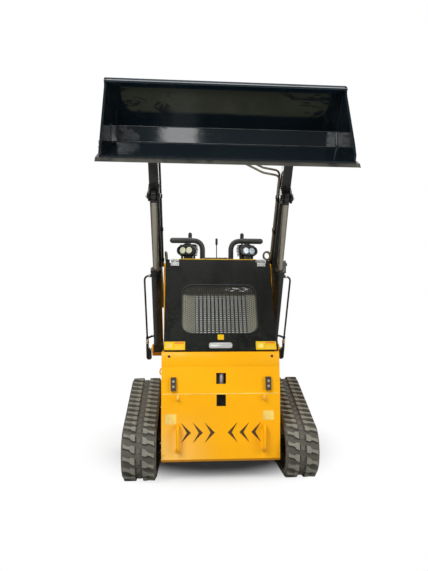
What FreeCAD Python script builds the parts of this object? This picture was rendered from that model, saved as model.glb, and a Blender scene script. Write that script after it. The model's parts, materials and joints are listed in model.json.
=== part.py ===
import FreeCAD, Part
import math
import os

# Mini track loader on rubber tracks, boom raised. Millimetres.
# Drafting frame: X to the machine's right as seen from its front, Y from the front of the
# tracks towards the rear, Z up from the ground. At the end every piece is shifted along Y so
# that the origin lies under the middle of the whole machine.

V = FreeCAD.Vector
X_AXIS, Y_AXIS, Z_AXIS = V(1, 0, 0), V(0, 1, 0), V(0, 0, 1)

# ---- driving dimensions -------------------------------------------------------------------
side_clearance = 5.0        # air beside a moving piece
bore_clearance = 0.05       # radial running fit of a hinge pin
seat_gap = 0.3              # air between curved faces that rest on each other

body_half_width = 317.0     # outer face of the side plates
side_plate_thickness = 12.0
body_front_y = 72.0
body_rear_y = 1150.0
body_floor_z = 112.0
crease_z = 470.0            # bend of the front panel, upright below it
hood_foot_y, hood_foot_z = 112.0, 692.0
hood_lean = 31.0            # degrees from the vertical
hood_cheek_rear_y = 400.0   # how far back the hood's sides reach
hood_inset = 11.0           # from the side plate's outer face in to the hood's
hood_gap = 8.0              # air between the hood and what is behind it
deck_z = 1200.0
deck_setback = 40.0         # from the hood's face back to the deck's front edge
tray_height = 26.0

track_gap = 25.0            # from the side plate to the track
track_width = 180.0
track_lug_height = 22.0
track_belt_thickness = 24.0
track_pitch = 57.0          # wanted spacing of the lugs
idler_tip_radius = 154.0
sprocket_tip_radius = 150.0
front_idler_y = 154.0
rear_idler_y = 1050.0
sprocket_y, sprocket_z = 720.0, 347.0

boom_pivot = (900.0, 1000.0)
boom_bend = (560.0, 1190.0)
boom_knee = (20.0, 1790.0)
bucket_pin = (-260.0, 1790.0)
arm_gap = 18.0              # from the side plate to the boom arm
arm_width = 50.0
boom_pin_radius = 20.0
bucket_pin_radius = 15.0

lift_base = (710.0, 685.0)
lift_eye = (130.0, 1530.0)
lift_barrel_radius = 29.0
lift_barrel_length = 575.0  # base pin to the open end
lift_rod_radius = 17.5
lift_pin_radius = 12.5

tilt_base = (210.0, 1880.0)
tilt_eye_radius_at_bucket = 145.0
tilt_eye_angle = 145.8      # degrees, seen from +X side, at rest
tilt_barrel_radius = 30.0
tilt_barrel_length = 332.0
tilt_rod_radius = 16.0
tilt_pin_radius = 12.5

bucket_half_width = 538.0
bucket_plate = 8.0
bucket_dump = 25.2          # degrees the floor slopes down to its cutting edge
bucket_edge = (-651.0, 1536.0)
bucket_profile = ((0.0, 0.0), (349.0, 0.0), (381.0, 67.0), (315.0, 271.0))
edge_overhang = 16.0        # cutting edge beyond the bucket's side

hood_thickness = 4.0
hood_skirt = 26.0

platform_hinge = (1178.0, 250.0)
platform_length = 300.0
platform_half_width = 210.0
platform_thickness = 28.0
platform_pin_radius = 8.0

boom_hose_radius = 6.0
lift_pipe_radius = 4.5
lift_hose_radius = 4.5
lift_ear_thickness = 8.0
lift_pipe_standoff = 27.0   # from the foot's ear out to the steel pipe

# ---- places that follow from them ----------------------------------------------------------
plate_inner_x = body_half_width - side_plate_thickness
hood_half_width = body_half_width - hood_inset
track_inner_x = body_half_width + track_gap
arm_inner_x = body_half_width + arm_gap
arm_outer_x = arm_inner_x + arm_width
lift_centre_x = arm_inner_x + arm_width / 2

# ---- shape helpers ------------------------------------------------------------------------
def box(x0, x1, y0, y1, z0, z1):
    return Part.makeBox(x1 - x0, y1 - y0, z1 - z0, V(x0, y0, z0))


def disc(x0, x1, yz, radius):
    return Part.makeCylinder(radius, x1 - x0, V(x0, yz[0], yz[1]), X_AXIS)


def rod_between(start, end, radius):
    line = end.sub(start)
    return Part.makeCylinder(radius, line.Length, start, line)


def prism(points, x0, x1):
    """A solid with its outline in the YZ plane, from x0 to x1."""
    corners = [V(x0, y, z) for y, z in points]
    wire = Part.makePolygon(corners + [corners[0]])
    return Part.Face(wire).extrude(V(x1 - x0, 0, 0))


def link(a, radius_a, b, radius_b, x0, x1):
    """The tangent hull of two circles in the YZ plane, from x0 to x1."""
    ay, az = a
    by, bz = b
    length = math.hypot(by - ay, bz - az)
    along = math.atan2(bz - az, by - ay)
    spread = math.acos((radius_a - radius_b) / length)
    corners = []
    for angle, centre, radius in ((along + spread, a, radius_a), (along + spread, b, radius_b),
                                  (along - spread, b, radius_b), (along - spread, a, radius_a)):
        corners.append((centre[0] + radius * math.cos(angle), centre[1] + radius * math.sin(angle)))
    return fuse([prism(corners, x0, x1), disc(x0, x1, a, radius_a), disc(x0, x1, b, radius_b)])


def fuse(shapes):
    if len(shapes) == 1:
        return shapes[0]
    return shapes[0].multiFuse(shapes[1:]).removeSplitter()


def cut(shape, tools):
    return shape.cut(tools) if tools else shape


def side_vector(x, yz):
    return V(x, yz[0], yz[1])


def both_sides(shape):
    return [shape, shape.mirror(V(0, 0, 0), X_AXIS)]


def mirrored(shape):
    return shape.mirror(V(0, 0, 0), X_AXIS)


def group(shapes):
    solids = []
    for shape in shapes:
        solids.extend(shape.Solids)
    return solids[0] if len(solids) == 1 else Part.makeCompound(solids)


def rounded_box(x0, x1, y0, y1, z0, z1, radius, axis):
    """A box whose edges along one axis are rounded."""
    shape = box(x0, x1, y0, y1, z0, z1)
    edges = [e for e in shape.Edges
             if abs(abs(e.tangentAt(e.FirstParameter).dot(axis)) - 1) < 1e-6]
    return shape.makeFillet(radius, edges)


def pipe(points, radius, bends):
    """A round tube along straight runs joined by tangent arcs."""
    edges = []
    start = points[0]
    for i in range(1, len(points) - 1):
        corner = points[i]
        before = corner.sub(points[i - 1]).normalize()
        after = points[i + 1].sub(corner).normalize()
        turn = before.getAngle(after)
        setback = bends[i - 1] * math.tan(turn / 2)
        first = corner - before * setback
        last = corner + after * setback
        middle_way = (after - before).normalize()
        centre = corner + middle_way * (bends[i - 1] / math.cos(turn / 2))
        middle = centre - middle_way * bends[i - 1]
        edges.append(Part.LineSegment(start, first).toShape())
        edges.append(Part.Arc(first, middle, last).toShape())
        start = last
    edges.append(Part.LineSegment(start, points[-1]).toShape())
    path = Part.Wire(edges)
    way = points[1].sub(points[0])
    profile = Part.Wire([Part.makeCircle(radius, points[0], way)])
    return path.makePipeShell([profile], True, False)


def turned(point, pivot, degrees):
    a = math.radians(degrees)
    y, z = point[0] - pivot[0], point[1] - pivot[1]
    return (pivot[0] + y * math.cos(a) - z * math.sin(a), pivot[1] + y * math.sin(a) + z * math.cos(a))


def unit(a, b):
    length = math.hypot(b[0] - a[0], b[1] - a[1])
    return ((b[0] - a[0]) / length, (b[1] - a[1]) / length)


def stepped(point, way, distance):
    return (point[0] + way[0] * distance, point[1] + way[1] * distance)


nodes = {}

# ---- body ---------------------------------------------------------------------------------
hood_slope = math.tan(math.radians(hood_lean))
hood_top_z = deck_z + 32.0
hood_way = (math.sin(math.radians(hood_lean)), math.cos(math.radians(hood_lean)))
hood_out = (-hood_way[1], hood_way[0])      # square to the hood, outwards
tray_z = deck_z + tray_height


def hood_point(z):
    return (hood_foot_y + (z - hood_foot_z) * hood_slope, z)


def side_plate():
    upper_front_y = hood_cheek_rear_y + hood_gap
    deck_front_y = hood_point(deck_z)[0] + deck_setback
    knee_z = deck_z - (deck_front_y - upper_front_y) / hood_slope
    outline = [(body_front_y + 6, body_floor_z + 10), (body_front_y + 6, crease_z),
               (hood_foot_y + 6, hood_foot_z), (upper_front_y, hood_foot_z), (upper_front_y, knee_z),
               (deck_front_y, deck_z), (1040, deck_z), (body_rear_y, 900), (body_rear_y, body_floor_z + 10)]
    plate = prism(outline, plate_inner_x, body_half_width)
    boss = disc(body_half_width, arm_inner_x - side_clearance, boom_pivot, 55)
    base_boss = disc(body_half_width, lift_centre_x - lift_barrel_radius - side_clearance, lift_base, 30)
    vents = []
    for row in range(6):
        z = 760 + row * 34
        vents.append(box(plate_inner_x - 1, body_half_width + 1, 450, 610, z, z + 12))
    bores = [disc(plate_inner_x - 1, arm_inner_x, boom_pivot, boom_pin_radius),
             disc(plate_inner_x - 1, arm_inner_x, lift_base, lift_pin_radius),
             disc(plate_inner_x - 1, body_half_width + 1, (1115, 175), 12)]
    return cut(fuse([plate, boss, base_boss]), vents + bores)


nodes["right_side_plate"] = side_plate()
nodes["left_side_plate"] = mirrored(nodes["right_side_plate"])


def front_panel():
    t = 6.0
    outer = [(body_front_y, body_floor_z), (body_front_y, crease_z), (hood_foot_y, hood_foot_z)]
    profile = outer + [(hood_foot_y + t, hood_foot_z), (body_front_y + t, crease_z),
                       (body_front_y + t, body_floor_z + t), (body_front_y + 46, body_floor_z + t),
                       (body_front_y + 46, body_floor_z)]
    sheet = prism(profile, -body_half_width, body_half_width)
    windows = [box(-26, 26, body_front_y - 20, body_front_y + 60, 522, 580),
               box(-25, 25, body_front_y - 20, body_front_y + 60, 404, 466)]
    arrows = []
    for side in (-1, 1):
        for i in range(3):
            tip = side * (34 + 63 * i)
            back = tip + side * 55
            notch = tip + side * 23
            corners = [(tip, 264), (back, 320), (notch, 264), (back, 208)]
            flat = [V(x, body_front_y - 5, z) for x, z in corners]
            face = Part.Face(Part.makePolygon(flat + [flat[0]]))
            arrows.append(face.extrude(V(0, 30, 0)))
    return cut(sheet, windows + arrows)


nodes["front_panel"] = front_panel()


def main_frame():
    floor = box(-plate_inner_x, plate_inner_x, body_front_y + 46, body_rear_y, body_floor_z, body_floor_z + 10)
    rear = box(-plate_inner_x, plate_inner_x, body_rear_y - 10, body_rear_y, body_floor_z + 10, 700)
    bulkhead = box(-plate_inner_x, plate_inner_x, 430, 438, body_floor_z + 10, 620)
    front_wall = box(-plate_inner_x, plate_inner_x, body_front_y + 46, body_front_y + 52,
                     body_floor_z + 10, 500)
    ears = []
    for side in (-1, 1):
        ear = link((platform_hinge[0] - 36, platform_hinge[1]), 26, platform_hinge, 20,
                   platform_half_width - 30, platform_half_width - 18)
        ear = ear.common(box(0, 400, body_rear_y, body_rear_y + 80, 150, 350))
        ears.append(cut(ear, [disc(0, 400, platform_hinge, platform_pin_radius)]))
    ears[0] = mirrored(ears[0])
    lug = box(-40, 40, body_rear_y, body_rear_y + 60, 150, 166)
    lug = cut(lug, [Part.makeCylinder(10, 40, V(0, body_rear_y + 35, 140), Z_AXIS)])
    return fuse([floor, rear, bulkhead, front_wall] + ears + [lug])


nodes["main_frame"] = main_frame()


def rear_cover():
    t = 5.0
    lower, upper = (body_rear_y, 900.0), (1040.0, deck_z)
    way = unit(lower, upper)
    out = (way[1], -way[0])
    profile = [(body_rear_y - t, 700), (body_rear_y, 700), lower, upper,
               stepped(upper, out, -t), (lower[0] - t, lower[1])]
    sheet = prism(profile, -plate_inner_x, plate_inner_x)
    slots = [box(-150, 150, body_rear_y - 20, body_rear_y + 10, 740 + 28 * i, 750 + 28 * i) for i in range(5)]
    return cut(sheet, slots)


nodes["rear_cover"] = rear_cover()
nodes["engine_block"] = box(-210, 210, 520, 900, body_floor_z + 10, 720)


def top_deck():
    front_y = hood_point(deck_z)[0] + deck_setback
    sheet = box(-plate_inner_x, plate_inner_x, front_y, 1033, deck_z - 8, deck_z)
    tray = rounded_box(-228, 228, front_y + 6, 1000, deck_z, tray_z, 14, Z_AXIS)
    hollow = box(-218, 218, front_y + 16, 990, deck_z - 8, tray_z - 6)
    return cut(fuse([sheet, tray]), [hollow])


nodes["top_deck"] = top_deck()


pad_x = 253.0
pad_z0, pad_z1 = 489.0, 559.0
pad_thickness = 20.0


def panel_y(z):
    """The front panel's outer face at a height above its bend."""
    return body_front_y + (z - crease_z) / (hood_foot_z - crease_z) * (hood_foot_y - body_front_y)


def bumper_pads():
    y0, y1 = panel_y(pad_z0), panel_y(pad_z1)
    outline = [(y0 - pad_thickness, pad_z0), (y0, pad_z0), (y1, pad_z1), (y1 - pad_thickness, pad_z1)]
    return group(both_sides(prism(outline, pad_x - 14, pad_x + 14)))


handle_x = 230.0
handle_z0, handle_z1 = 163.0, 311.0
handle_depth = 46.0
handle_strap = 8.0
handle_half_width = 12.0


def front_handles():
    """A flat strap bent to a U on each side of the panel, with a small hook above it."""
    shapes = []
    y = body_front_y
    for side in (-1, 1):
        x = side * handle_x
        x0, x1 = x - handle_half_width, x + handle_half_width
        outer = rounded_box(x0, x1, y - handle_depth, y + 30, handle_z0, handle_z1, 26, X_AXIS)
        inner = rounded_box(x0, x1, y - handle_depth + handle_strap, y + 30,
                            handle_z0 + handle_strap, handle_z1 - handle_strap, 26 - handle_strap, X_AXIS)
        shapes.append(cut(outer, [inner, box(x0, x1, y, y + 30, handle_z0, handle_z1)]))
        hook = fuse([box(x - 9, x + 9, y - 6, y, 434, 466),
                     pipe([V(x, y - 6, 442), V(x, y - 26, 442), V(x, y - 26, 462)], 5, [12])])
        shapes.append(hook)
    return group(shapes)


nodes["front_bumper_pads"] = bumper_pads()
nodes["front_handles"] = front_handles()

# ---- hood ---------------------------------------------------------------------------------
hinge_z = hood_top_z - 20.0
hood_hinge = stepped(hood_point(hinge_z), hood_out, 2)
hinge_x1 = hood_half_width - 29
hinge_x0 = hinge_x1 - 48
hood_knuckle = (hinge_x0 + 16, hinge_x1 - 16)
hood_pin_radius = 4.0
hood_knuckle_radius = 9.0


def on_hood(z, out):
    return stepped(hood_point(z), hood_out, out)


def hood():
    """A folded sheet with sides that reach back to the side plates, open behind and below."""
    foot = hood_foot_z + 6
    top = hood_top_z - 14
    skirt_meets_z = hood_point(top)[1] - (on_hood(top, -hood_skirt)[0] - hood_cheek_rear_y) / hood_slope
    cheek_top = (hood_cheek_rear_y, skirt_meets_z - hood_skirt * hood_out[1])
    outer = prism([on_hood(foot, 0), on_hood(top, 0), on_hood(top, -hood_skirt), cheek_top,
                   (hood_cheek_rear_y, foot)], -hood_half_width, hood_half_width)
    back_y = hood_cheek_rear_y + 200
    lip_y = on_hood(foot, -hood_skirt)[0]
    inner = prism([on_hood(foot + 5, -hood_thickness), on_hood(top - 5, -hood_thickness), (back_y, top - 5),
                   (back_y, foot - 10), (lip_y, foot - 10), (lip_y, foot + 5)],
                  -hood_half_width + hood_thickness, hood_half_width - hood_thickness)
    # opening for the mesh, a rounded rectangle square to the sheet
    half, radius = 209.0, 55.0
    low, high = 791.0, 1065.0
    length = (high - low) / hood_way[1]
    hole = rounded_box(-half, half, -30, 30, 0, length, radius, Y_AXIS)
    hole.rotate(V(0, 0, 0), X_AXIS, -hood_lean)
    foot_of_hole = hood_point(low)
    hole.translate(V(0, foot_of_hole[0], foot_of_hole[1]))
    notches = []
    for side in (-1, 1):
        x0, x1 = sorted((side * (hinge_x0 - 6), side * (hinge_x1 + 6)))
        notch = prism([on_hood(hinge_z - 16, 10), on_hood(hinge_z + 30, 10),
                       on_hood(hinge_z + 30, -60), on_hood(hinge_z - 16, -60)], x0, x1)
        notches.append(notch)
    return cut(outer, [inner, hole] + notches)


nodes["hood"] = hood()


def hood_hinges():
    """Fixed half: a block on the deck with two knuckles and the pin."""
    shapes = []
    gap = 1.0
    for side in (-1, 1):
        parts = []
        for x0, x1 in ((hinge_x0, hood_knuckle[0] - gap), (hood_knuckle[1] + gap, hinge_x1)):
            knuckle = disc(x0, x1, hood_hinge, hood_knuckle_radius)
            arm = prism([(hood_hinge[0], hood_hinge[1] - 8), (hood_hinge[0], hood_hinge[1] + 8),
                         (hood_hinge[0] + 40, hood_hinge[1] + 2), (hood_hinge[0] + 40, deck_z)], x0, x1)
            parts += [knuckle, arm]
        parts.append(box(hinge_x0, hinge_x1, hood_hinge[0] + 32, hood_hinge[0] + 60, deck_z, deck_z + 10))
        parts.append(disc(hinge_x0, hinge_x1, hood_hinge, hood_pin_radius))
        shape = fuse(parts)
        shapes.append(shape if side > 0 else mirrored(shape))
    return group(shapes)


def hood_hinge_leaves():
    """Moving half, bolted to the hood: a flat leaf with the middle knuckle."""
    shapes = []
    leaf_low, leaf_high = hinge_z - 34, hinge_z - 11
    for side in (-1, 1):
        knuckle = disc(hood_knuckle[0], hood_knuckle[1], hood_hinge, hood_knuckle_radius)
        leaf = prism([on_hood(leaf_low, 0), on_hood(leaf_low, 4), on_hood(leaf_high, 4), on_hood(leaf_high, 0)],
                     hinge_x0, hinge_x1)
        tongue = prism([on_hood(leaf_high - 4, 0), on_hood(leaf_high - 4, 4), on_hood(hinge_z, 8),
                        on_hood(hinge_z, 0)], hood_knuckle[0], hood_knuckle[1])
        shape = cut(fuse([knuckle, leaf, tongue]),
                    [disc(0, 400, hood_hinge, hood_pin_radius + bore_clearance)])
        shapes.append(shape if side > 0 else mirrored(shape))
    return group(shapes)


nodes["hood_hinges"] = hood_hinges()
nodes["hood_hinge_leaves"] = hood_hinge_leaves()


def hood_grille():
    """Perforated sheet behind the opening, with a rim that laps the hood's inside."""
    low, high = 776.0, 1080.0
    sheet = prism([on_hood(low, -hood_thickness), on_hood(high, -hood_thickness),
                   on_hood(high, -hood_thickness - 3), on_hood(low, -hood_thickness - 3)], -226, 226)
    return sheet


def hood_latch():
    low, high = 709.0, 738.0
    plate = rounded_box(-63, 63, -6, 0, 0, (high - low) / hood_way[1], 13, Y_AXIS)
    plate.rotate(V(0, 0, 0), X_AXIS, -hood_lean)
    plate.translate(side_vector(0, hood_point(low)))
    return plate


nodes["hood_grille"] = hood_grille()
nodes["hood_latch"] = hood_latch()

# ---- controls and lamps -------------------------------------------------------------------


def handlebars():
    shapes = []
    for side in (-1, 1):
        y, x = 620.0, side * 88.0
        tube = pipe([V(x, y, tray_z), V(x, y, 1354), V(side * 287, y, 1354)], 15.5, [42])
        foot = Part.makeCylinder(24, 8, V(x, y, tray_z), Z_AXIS)
        shapes.append(fuse([tube, foot]))
    return group(shapes)


def control_levers():
    shapes = []
    for side in (-1, 1):
        x = side * 164.0
        stick = rod_between(V(x, 700, tray_z), V(x, 700, 1378), 6)
        knob = Part.makeCylinder(12, 34, V(x, 700, 1372), Z_AXIS)
        cap = Part.makeSphere(12, V(x, 700, 1402))
        boot = Part.makeCone(26, 10, 30, V(x, 700, tray_z), Z_AXIS)
        shapes.append(fuse([stick, knob, cap, boot]))
    lever = fuse([rod_between(V(0, 640, tray_z), V(0, 640, 1340), 3),
                  Part.makeCylinder(7.5, 36, V(0, 640, 1332), Z_AXIS)])
    shapes.append(lever)
    return group(shapes)


lamp_x, lamp_y, lamp_z = 187.0, 505.0, 1281.0
lamp_turn = 24.0


def lamp():
    """One lamp, built facing -Y at the origin of its lens, then turned outwards."""
    half_w, half_h = 48.0, 26.5
    ring = rounded_box(-half_w, half_w, 0, 16, -half_h, half_h, half_h - 0.5, Y_AXIS)
    shell = rounded_box(-half_w + 4, half_w - 4, 16, 34, -half_h + 2, half_h - 2, 22, Y_AXIS)
    parts = [ring, shell]
    for i in range(5):
        y = 34 + i * 7.5
        shrink = 4 + i * 4.0
        parts.append(rounded_box(-half_w + shrink, half_w - shrink, y, y + 3.5,
                                 -half_h + shrink, half_h - shrink + 4, 8, Y_AXIS))
    parts.append(box(-26, 26, 30, 68, -8, 8))
    foot = box(-30, 30, 20, 60, tray_z - lamp_z, tray_z - lamp_z + 5)
    cheeks = [box(-34, -28, 22, 40, tray_z - lamp_z, 10), box(28, 34, 22, 40, tray_z - lamp_z, 10)]
    hood_piece = prism([(10, half_h - 4), (34, half_h + 18), (60, half_h + 4), (60, half_h - 8)], -16, 16)
    return fuse(parts + [foot, hood_piece] + cheeks)


def work_lamps():
    shape = lamp()
    shape.rotate(V(0, 0, 0), Z_AXIS, lamp_turn)
    shape.translate(V(lamp_x, lamp_y, lamp_z))
    return group([shape, mirrored(shape)])


nodes["handlebars"] = handlebars()
nodes["control_levers"] = control_levers()
nodes["work_lamps"] = work_lamps()

# ---- undercarriage ------------------------------------------------------------------------
idler_seat = idler_tip_radius - track_lug_height - track_belt_thickness
sprocket_seat = sprocket_tip_radius - track_lug_height - track_belt_thickness
front_idler = (front_idler_y, idler_tip_radius)
rear_idler = (rear_idler_y, idler_tip_radius)
sprocket = (sprocket_y, sprocket_z)
track_outer_x = track_inner_x + track_width
track_middle_x = track_inner_x + track_width / 2


def loop_runs(inset):
    """The straight runs and arcs of the track loop, inset below the lug tips, going
    rearwards along the top. Each arc is (centre, radius, start angle, turn)."""
    wheels = [(front_idler, idler_tip_radius - inset), (sprocket, sprocket_tip_radius - inset),
              (rear_idler, idler_tip_radius - inset)]
    tangents = []
    for i in range(3):
        (a, ra), (b, rb) = wheels[i], wheels[(i + 1) % 3]
        along = math.atan2(b[1] - a[1], b[0] - a[0])
        lean = math.acos((ra - rb) / math.hypot(b[0] - a[0], b[1] - a[1]))
        tangents.append(along + lean)
    runs = []
    for i in range(3):
        (a, ra), (b, rb) = wheels[i], wheels[(i + 1) % 3]
        normal = (math.cos(tangents[i]), math.sin(tangents[i]))
        start, end = stepped(a, normal, ra), stepped(b, normal, rb)
        turn = (tangents[i] - tangents[(i + 1) % 3]) % (2 * math.pi)
        runs.append(("line", start, end, normal))
        runs.append(("arc", b, rb, tangents[i], turn))
    return runs


def run_length(run):
    if run[0] == "line":
        return math.hypot(run[2][0] - run[1][0], run[2][1] - run[1][1])
    return run[2] * run[4]


def loop_place(runs, distance):
    """The point and outward normal at a distance along the loop."""
    for run in runs:
        length = run_length(run)
        if distance <= length:
            break
        distance -= length
    if run[0] == "line":
        way = unit(run[1], run[2])
        return stepped(run[1], way, distance), run[3]
    angle = run[3] - distance / run[2]
    normal = (math.cos(angle), math.sin(angle))
    return stepped(run[1], normal, run[2]), normal


def loop_wire(inset, x):
    edges = []
    for run in loop_runs(inset):
        if run[0] == "line":
            a, b = run[1], run[2]
            edges.append(Part.LineSegment(V(x, a[0], a[1]), V(x, b[0], b[1])).toShape())
        else:
            centre, radius, start, turn = run[1], run[2], run[3], run[4]
            spots = [stepped(centre, (math.cos(start - f * turn), math.sin(start - f * turn)), radius)
                     for f in (0, 0.5, 1)]
            edges.append(Part.Arc(*[V(x, p[0], p[1]) for p in spots]).toShape())
    return Part.Wire(edges)


lug_column_width = 80.0


def track():
    root_inset = track_lug_height
    inner_inset = track_lug_height + track_belt_thickness
    pitch_runs = loop_runs(root_inset)
    total = sum(run_length(r) for r in pitch_runs)
    count = round(total / track_pitch)
    belt_outer = Part.Face(loop_wire(root_inset, track_inner_x))
    belt_hole = Part.Face(loop_wire(inner_inset, track_inner_x))
    belt = belt_outer.cut(belt_hole).extrude(V(track_width, 0, 0))
    lugs = []
    foot_half, tip_half, root_overlap = 14.0, 9.0, 4.0
    for i in range(count):
        place, normal = loop_place(pitch_runs, total * (i + 0.5) / count)
        way = (normal[1], -normal[0])
        corners = [stepped(stepped(place, way, -foot_half), normal, -root_overlap),
                   stepped(stepped(place, way, -tip_half), normal, track_lug_height),
                   stepped(stepped(place, way, tip_half), normal, track_lug_height),
                   stepped(stepped(place, way, foot_half), normal, -root_overlap)]
        for x0 in (track_inner_x + 2, track_outer_x - 2 - lug_column_width):
            lugs.append(prism(corners, x0, x0 + lug_column_width))
    return belt.multiFuse(lugs)


nodes["right_track"] = track()
nodes["left_track"] = mirrored(nodes["right_track"])

roller_radius = 38.0
roller_z = idler_tip_radius - idler_seat + roller_radius
roller_ys = (290.0, 430.0, 570.0, 710.0, 850.0)
beam_z0, beam_z1 = 128.0, 196.0
riser_z = 262.0             # top of the rear mounting arm, above the beam
axle_radius = 12.0


def wheel_set(centre, radius, half_width):
    hub = disc(track_middle_x - half_width, track_middle_x + half_width, centre, radius)
    grooves = []
    for side in (-1, 1):
        a, b = sorted((side * half_width, side * (half_width - 14)))
        ring = disc(track_middle_x + a, track_middle_x + b, centre, radius - 16)
        core = disc(track_middle_x + a, track_middle_x + b, centre, 34)
        grooves.append(ring.cut(core))
    return cut(hub, grooves + [disc(0, 700, centre, axle_radius)])


def front_idlers():
    return group(both_sides(wheel_set(front_idler, idler_seat - seat_gap, 30)))


def rear_idlers():
    return group(both_sides(wheel_set(rear_idler, idler_seat - seat_gap, 30)))


def track_rollers():
    shapes = []
    for y in roller_ys:
        centre = (y, roller_z)
        spool = fuse([disc(track_middle_x - 34, track_middle_x - 12, centre, roller_radius),
                      disc(track_middle_x - 12, track_middle_x + 12, centre, roller_radius - 10),
                      disc(track_middle_x + 12, track_middle_x + 34, centre, roller_radius)])
        spool = cut(spool, [disc(0, 700, centre, axle_radius - 3)])
        shapes += both_sides(spool)
    return group(shapes)


def track_frames():
    beam = box(track_middle_x - 30, track_middle_x + 30, front_idler_y + 112, rear_idler_y - 112,
               beam_z0, beam_z1)
    parts = [beam]
    for side in (-1, 1):
        x0, x1 = sorted((track_middle_x + side * 34, track_middle_x + side * 44))
        for centre, way in ((front_idler, 1), (rear_idler, -1)):
            y0, y1 = sorted((centre[0], centre[0] + way * 190))
            parts.append(box(x0, x1, y0, y1, centre[1] - 20, centre[1] + 20))
            parts.append(disc(x0, x1, centre, 26))
        inner = sorted((track_middle_x + side * 30, track_middle_x + side * 44))
        for y in (front_idler_y + 150, rear_idler_y - 150):
            parts.append(box(inner[0], inner[1], y - 30, y + 30, beam_z0 + 4, beam_z1 - 6))
        for y in roller_ys:
            hanger = sorted((track_middle_x + side * 30, track_middle_x + side * 44))
            parts.append(box(hanger[0], hanger[1], y - 22, y + 22, beam_z0, beam_z0 + 22))
            parts.append(box(x0, x1, y - 16, y + 16, roller_z - 14, beam_z0 + 22))
    for y in roller_ys:
        parts.append(disc(track_middle_x - 46, track_middle_x + 46, (y, roller_z), axle_radius - 3))
    for centre in (front_idler, rear_idler):
        parts.append(disc(track_middle_x - 48, track_middle_x + 48, centre, axle_radius))
    arm_end = track_middle_x - 30
    parts.append(box(body_half_width + 10, arm_end, 244, 316, beam_z0 + 2, beam_z1))
    parts.append(box(body_half_width, body_half_width + 10, 230, 330, body_floor_z + 6, beam_z1 + 4))
    parts.append(box(arm_end, track_middle_x + 30, 824, 896, beam_z1, riser_z))
    parts.append(box(body_half_width + 10, arm_end, 824, 896, beam_z1 + 10, riser_z))
    parts.append(box(body_half_width, body_half_width + 10, 810, 910, beam_z1 + 4, riser_z + 20))
    return group(both_sides(fuse(parts)))


def sprockets():
    teeth = []
    count = 11
    for i in range(count):
        a = 2 * math.pi * (i + 0.5) / count
        way = (math.cos(a), math.sin(a))
        side = (-way[1], way[0])
        base = stepped(sprocket, way, sprocket_seat - 24)
        tip = stepped(sprocket, way, sprocket_seat - seat_gap)
        corners = [stepped(base, side, -14), stepped(tip, side, -8), stepped(tip, side, 8), stepped(base, side, 14)]
        teeth.append(prism(corners, track_middle_x - 18, track_middle_x + 18))
    rim = disc(track_middle_x - 18, track_middle_x + 18, sprocket, sprocket_seat - 20)
    hub = disc(track_middle_x + 18, track_middle_x + 44, sprocket, 58)
    return group(both_sides(fuse([rim, hub] + teeth)))


def drive_motors():
    drum = disc(body_half_width, track_middle_x - 18, sprocket, 62)
    flange = disc(body_half_width, body_half_width + 12, sprocket, 82)
    return group(both_sides(fuse([drum, flange])))


nodes["front_idlers"] = front_idlers()
nodes["rear_idlers"] = rear_idlers()
nodes["track_rollers"] = track_rollers()
nodes["track_frames"] = track_frames()
nodes["sprockets"] = sprockets()
nodes["drive_motors"] = drive_motors()

# ---- boom ---------------------------------------------------------------------------------
ear_thickness = 9.0
ear_inner = lift_rod_radius + 3     # half the gap between the two ears of the rod's eye
beam_way = unit(boom_bend, boom_knee)
eye_along = ((lift_eye[0] - boom_bend[0]) * beam_way[0] + (lift_eye[1] - boom_bend[1]) * beam_way[1])
beam_side = (beam_way[1], -beam_way[0])     # square to the beam, upwards and to the rear
ear_root = stepped(stepped(boom_bend, beam_way, eye_along), beam_side, -24)


def boom_arm():
    parts = [link(boom_pivot, 56, boom_bend, 50, arm_inner_x, arm_outer_x),
             link(boom_bend, 50, boom_knee, 46, arm_inner_x, arm_outer_x),
             link(boom_knee, 46, bucket_pin, 38, arm_inner_x, arm_outer_x)]
    heads = []
    for side in (-1, 1):
        x0, x1 = sorted((lift_centre_x + side * ear_inner, lift_centre_x + side * (ear_inner + ear_thickness)))
        parts.append(link(ear_root, 30, lift_eye, 29, x0, x1))
        h0, h1 = sorted((lift_centre_x + side * (ear_inner + 2), lift_centre_x + side * (ear_inner + 14)))
        heads.append(disc(h0, h1, lift_eye, 17))
    bores = [disc(0, 700, boom_pivot, boom_pin_radius + bore_clearance),
             disc(0, 700, bucket_pin, bucket_pin_radius + bore_clearance)]
    return cut(fuse(parts + heads), bores)


nodes["right_boom_arm"] = boom_arm()
nodes["left_boom_arm"] = mirrored(nodes["right_boom_arm"])

beam_length = math.hypot(boom_knee[0] - boom_bend[0], boom_knee[1] - boom_bend[1])
hose_x = arm_inner_x - boom_hose_radius - 1
hose_leave = beam_length - 190      # where the hoses turn off towards the tilt cylinder
right_hose_rows = (15.0, 34.0)
left_hose_row = 24.0
port_block = (48.0, 92.0)           # along X, beside the tilt cylinder's bracket
port_block_y, port_block_z = 120.0, 1820.0
cross_tube_radius = 36.0
tilt_plate_x0, tilt_plate_x1 = 36.0, 48.0


def boom_cross_tube():
    tube = disc(-arm_inner_x, arm_inner_x, boom_knee, cross_tube_radius)
    plates = []
    for x0 in (tilt_plate_x0, -tilt_plate_x1):
        plates.append(link(boom_knee, cross_tube_radius - 4, tilt_base, 26,
                           x0, x0 + tilt_plate_x1 - tilt_plate_x0))
    pin = disc(-tilt_plate_x1 - 4, tilt_plate_x1 + 4, tilt_base, tilt_pin_radius)
    ports = box(port_block[0], port_block[1], port_block_y - 12, port_block_y + 12,
                port_block_z, port_block_z + 18)
    return fuse([tube] + plates + [pin, ports])


nodes["boom_cross_tube"] = boom_cross_tube()


def on_beam(along, across):
    """A point beside the straight beam between the boom's bend and its knee."""
    return stepped(stepped(boom_bend, beam_way, along), beam_side, across)


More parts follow.
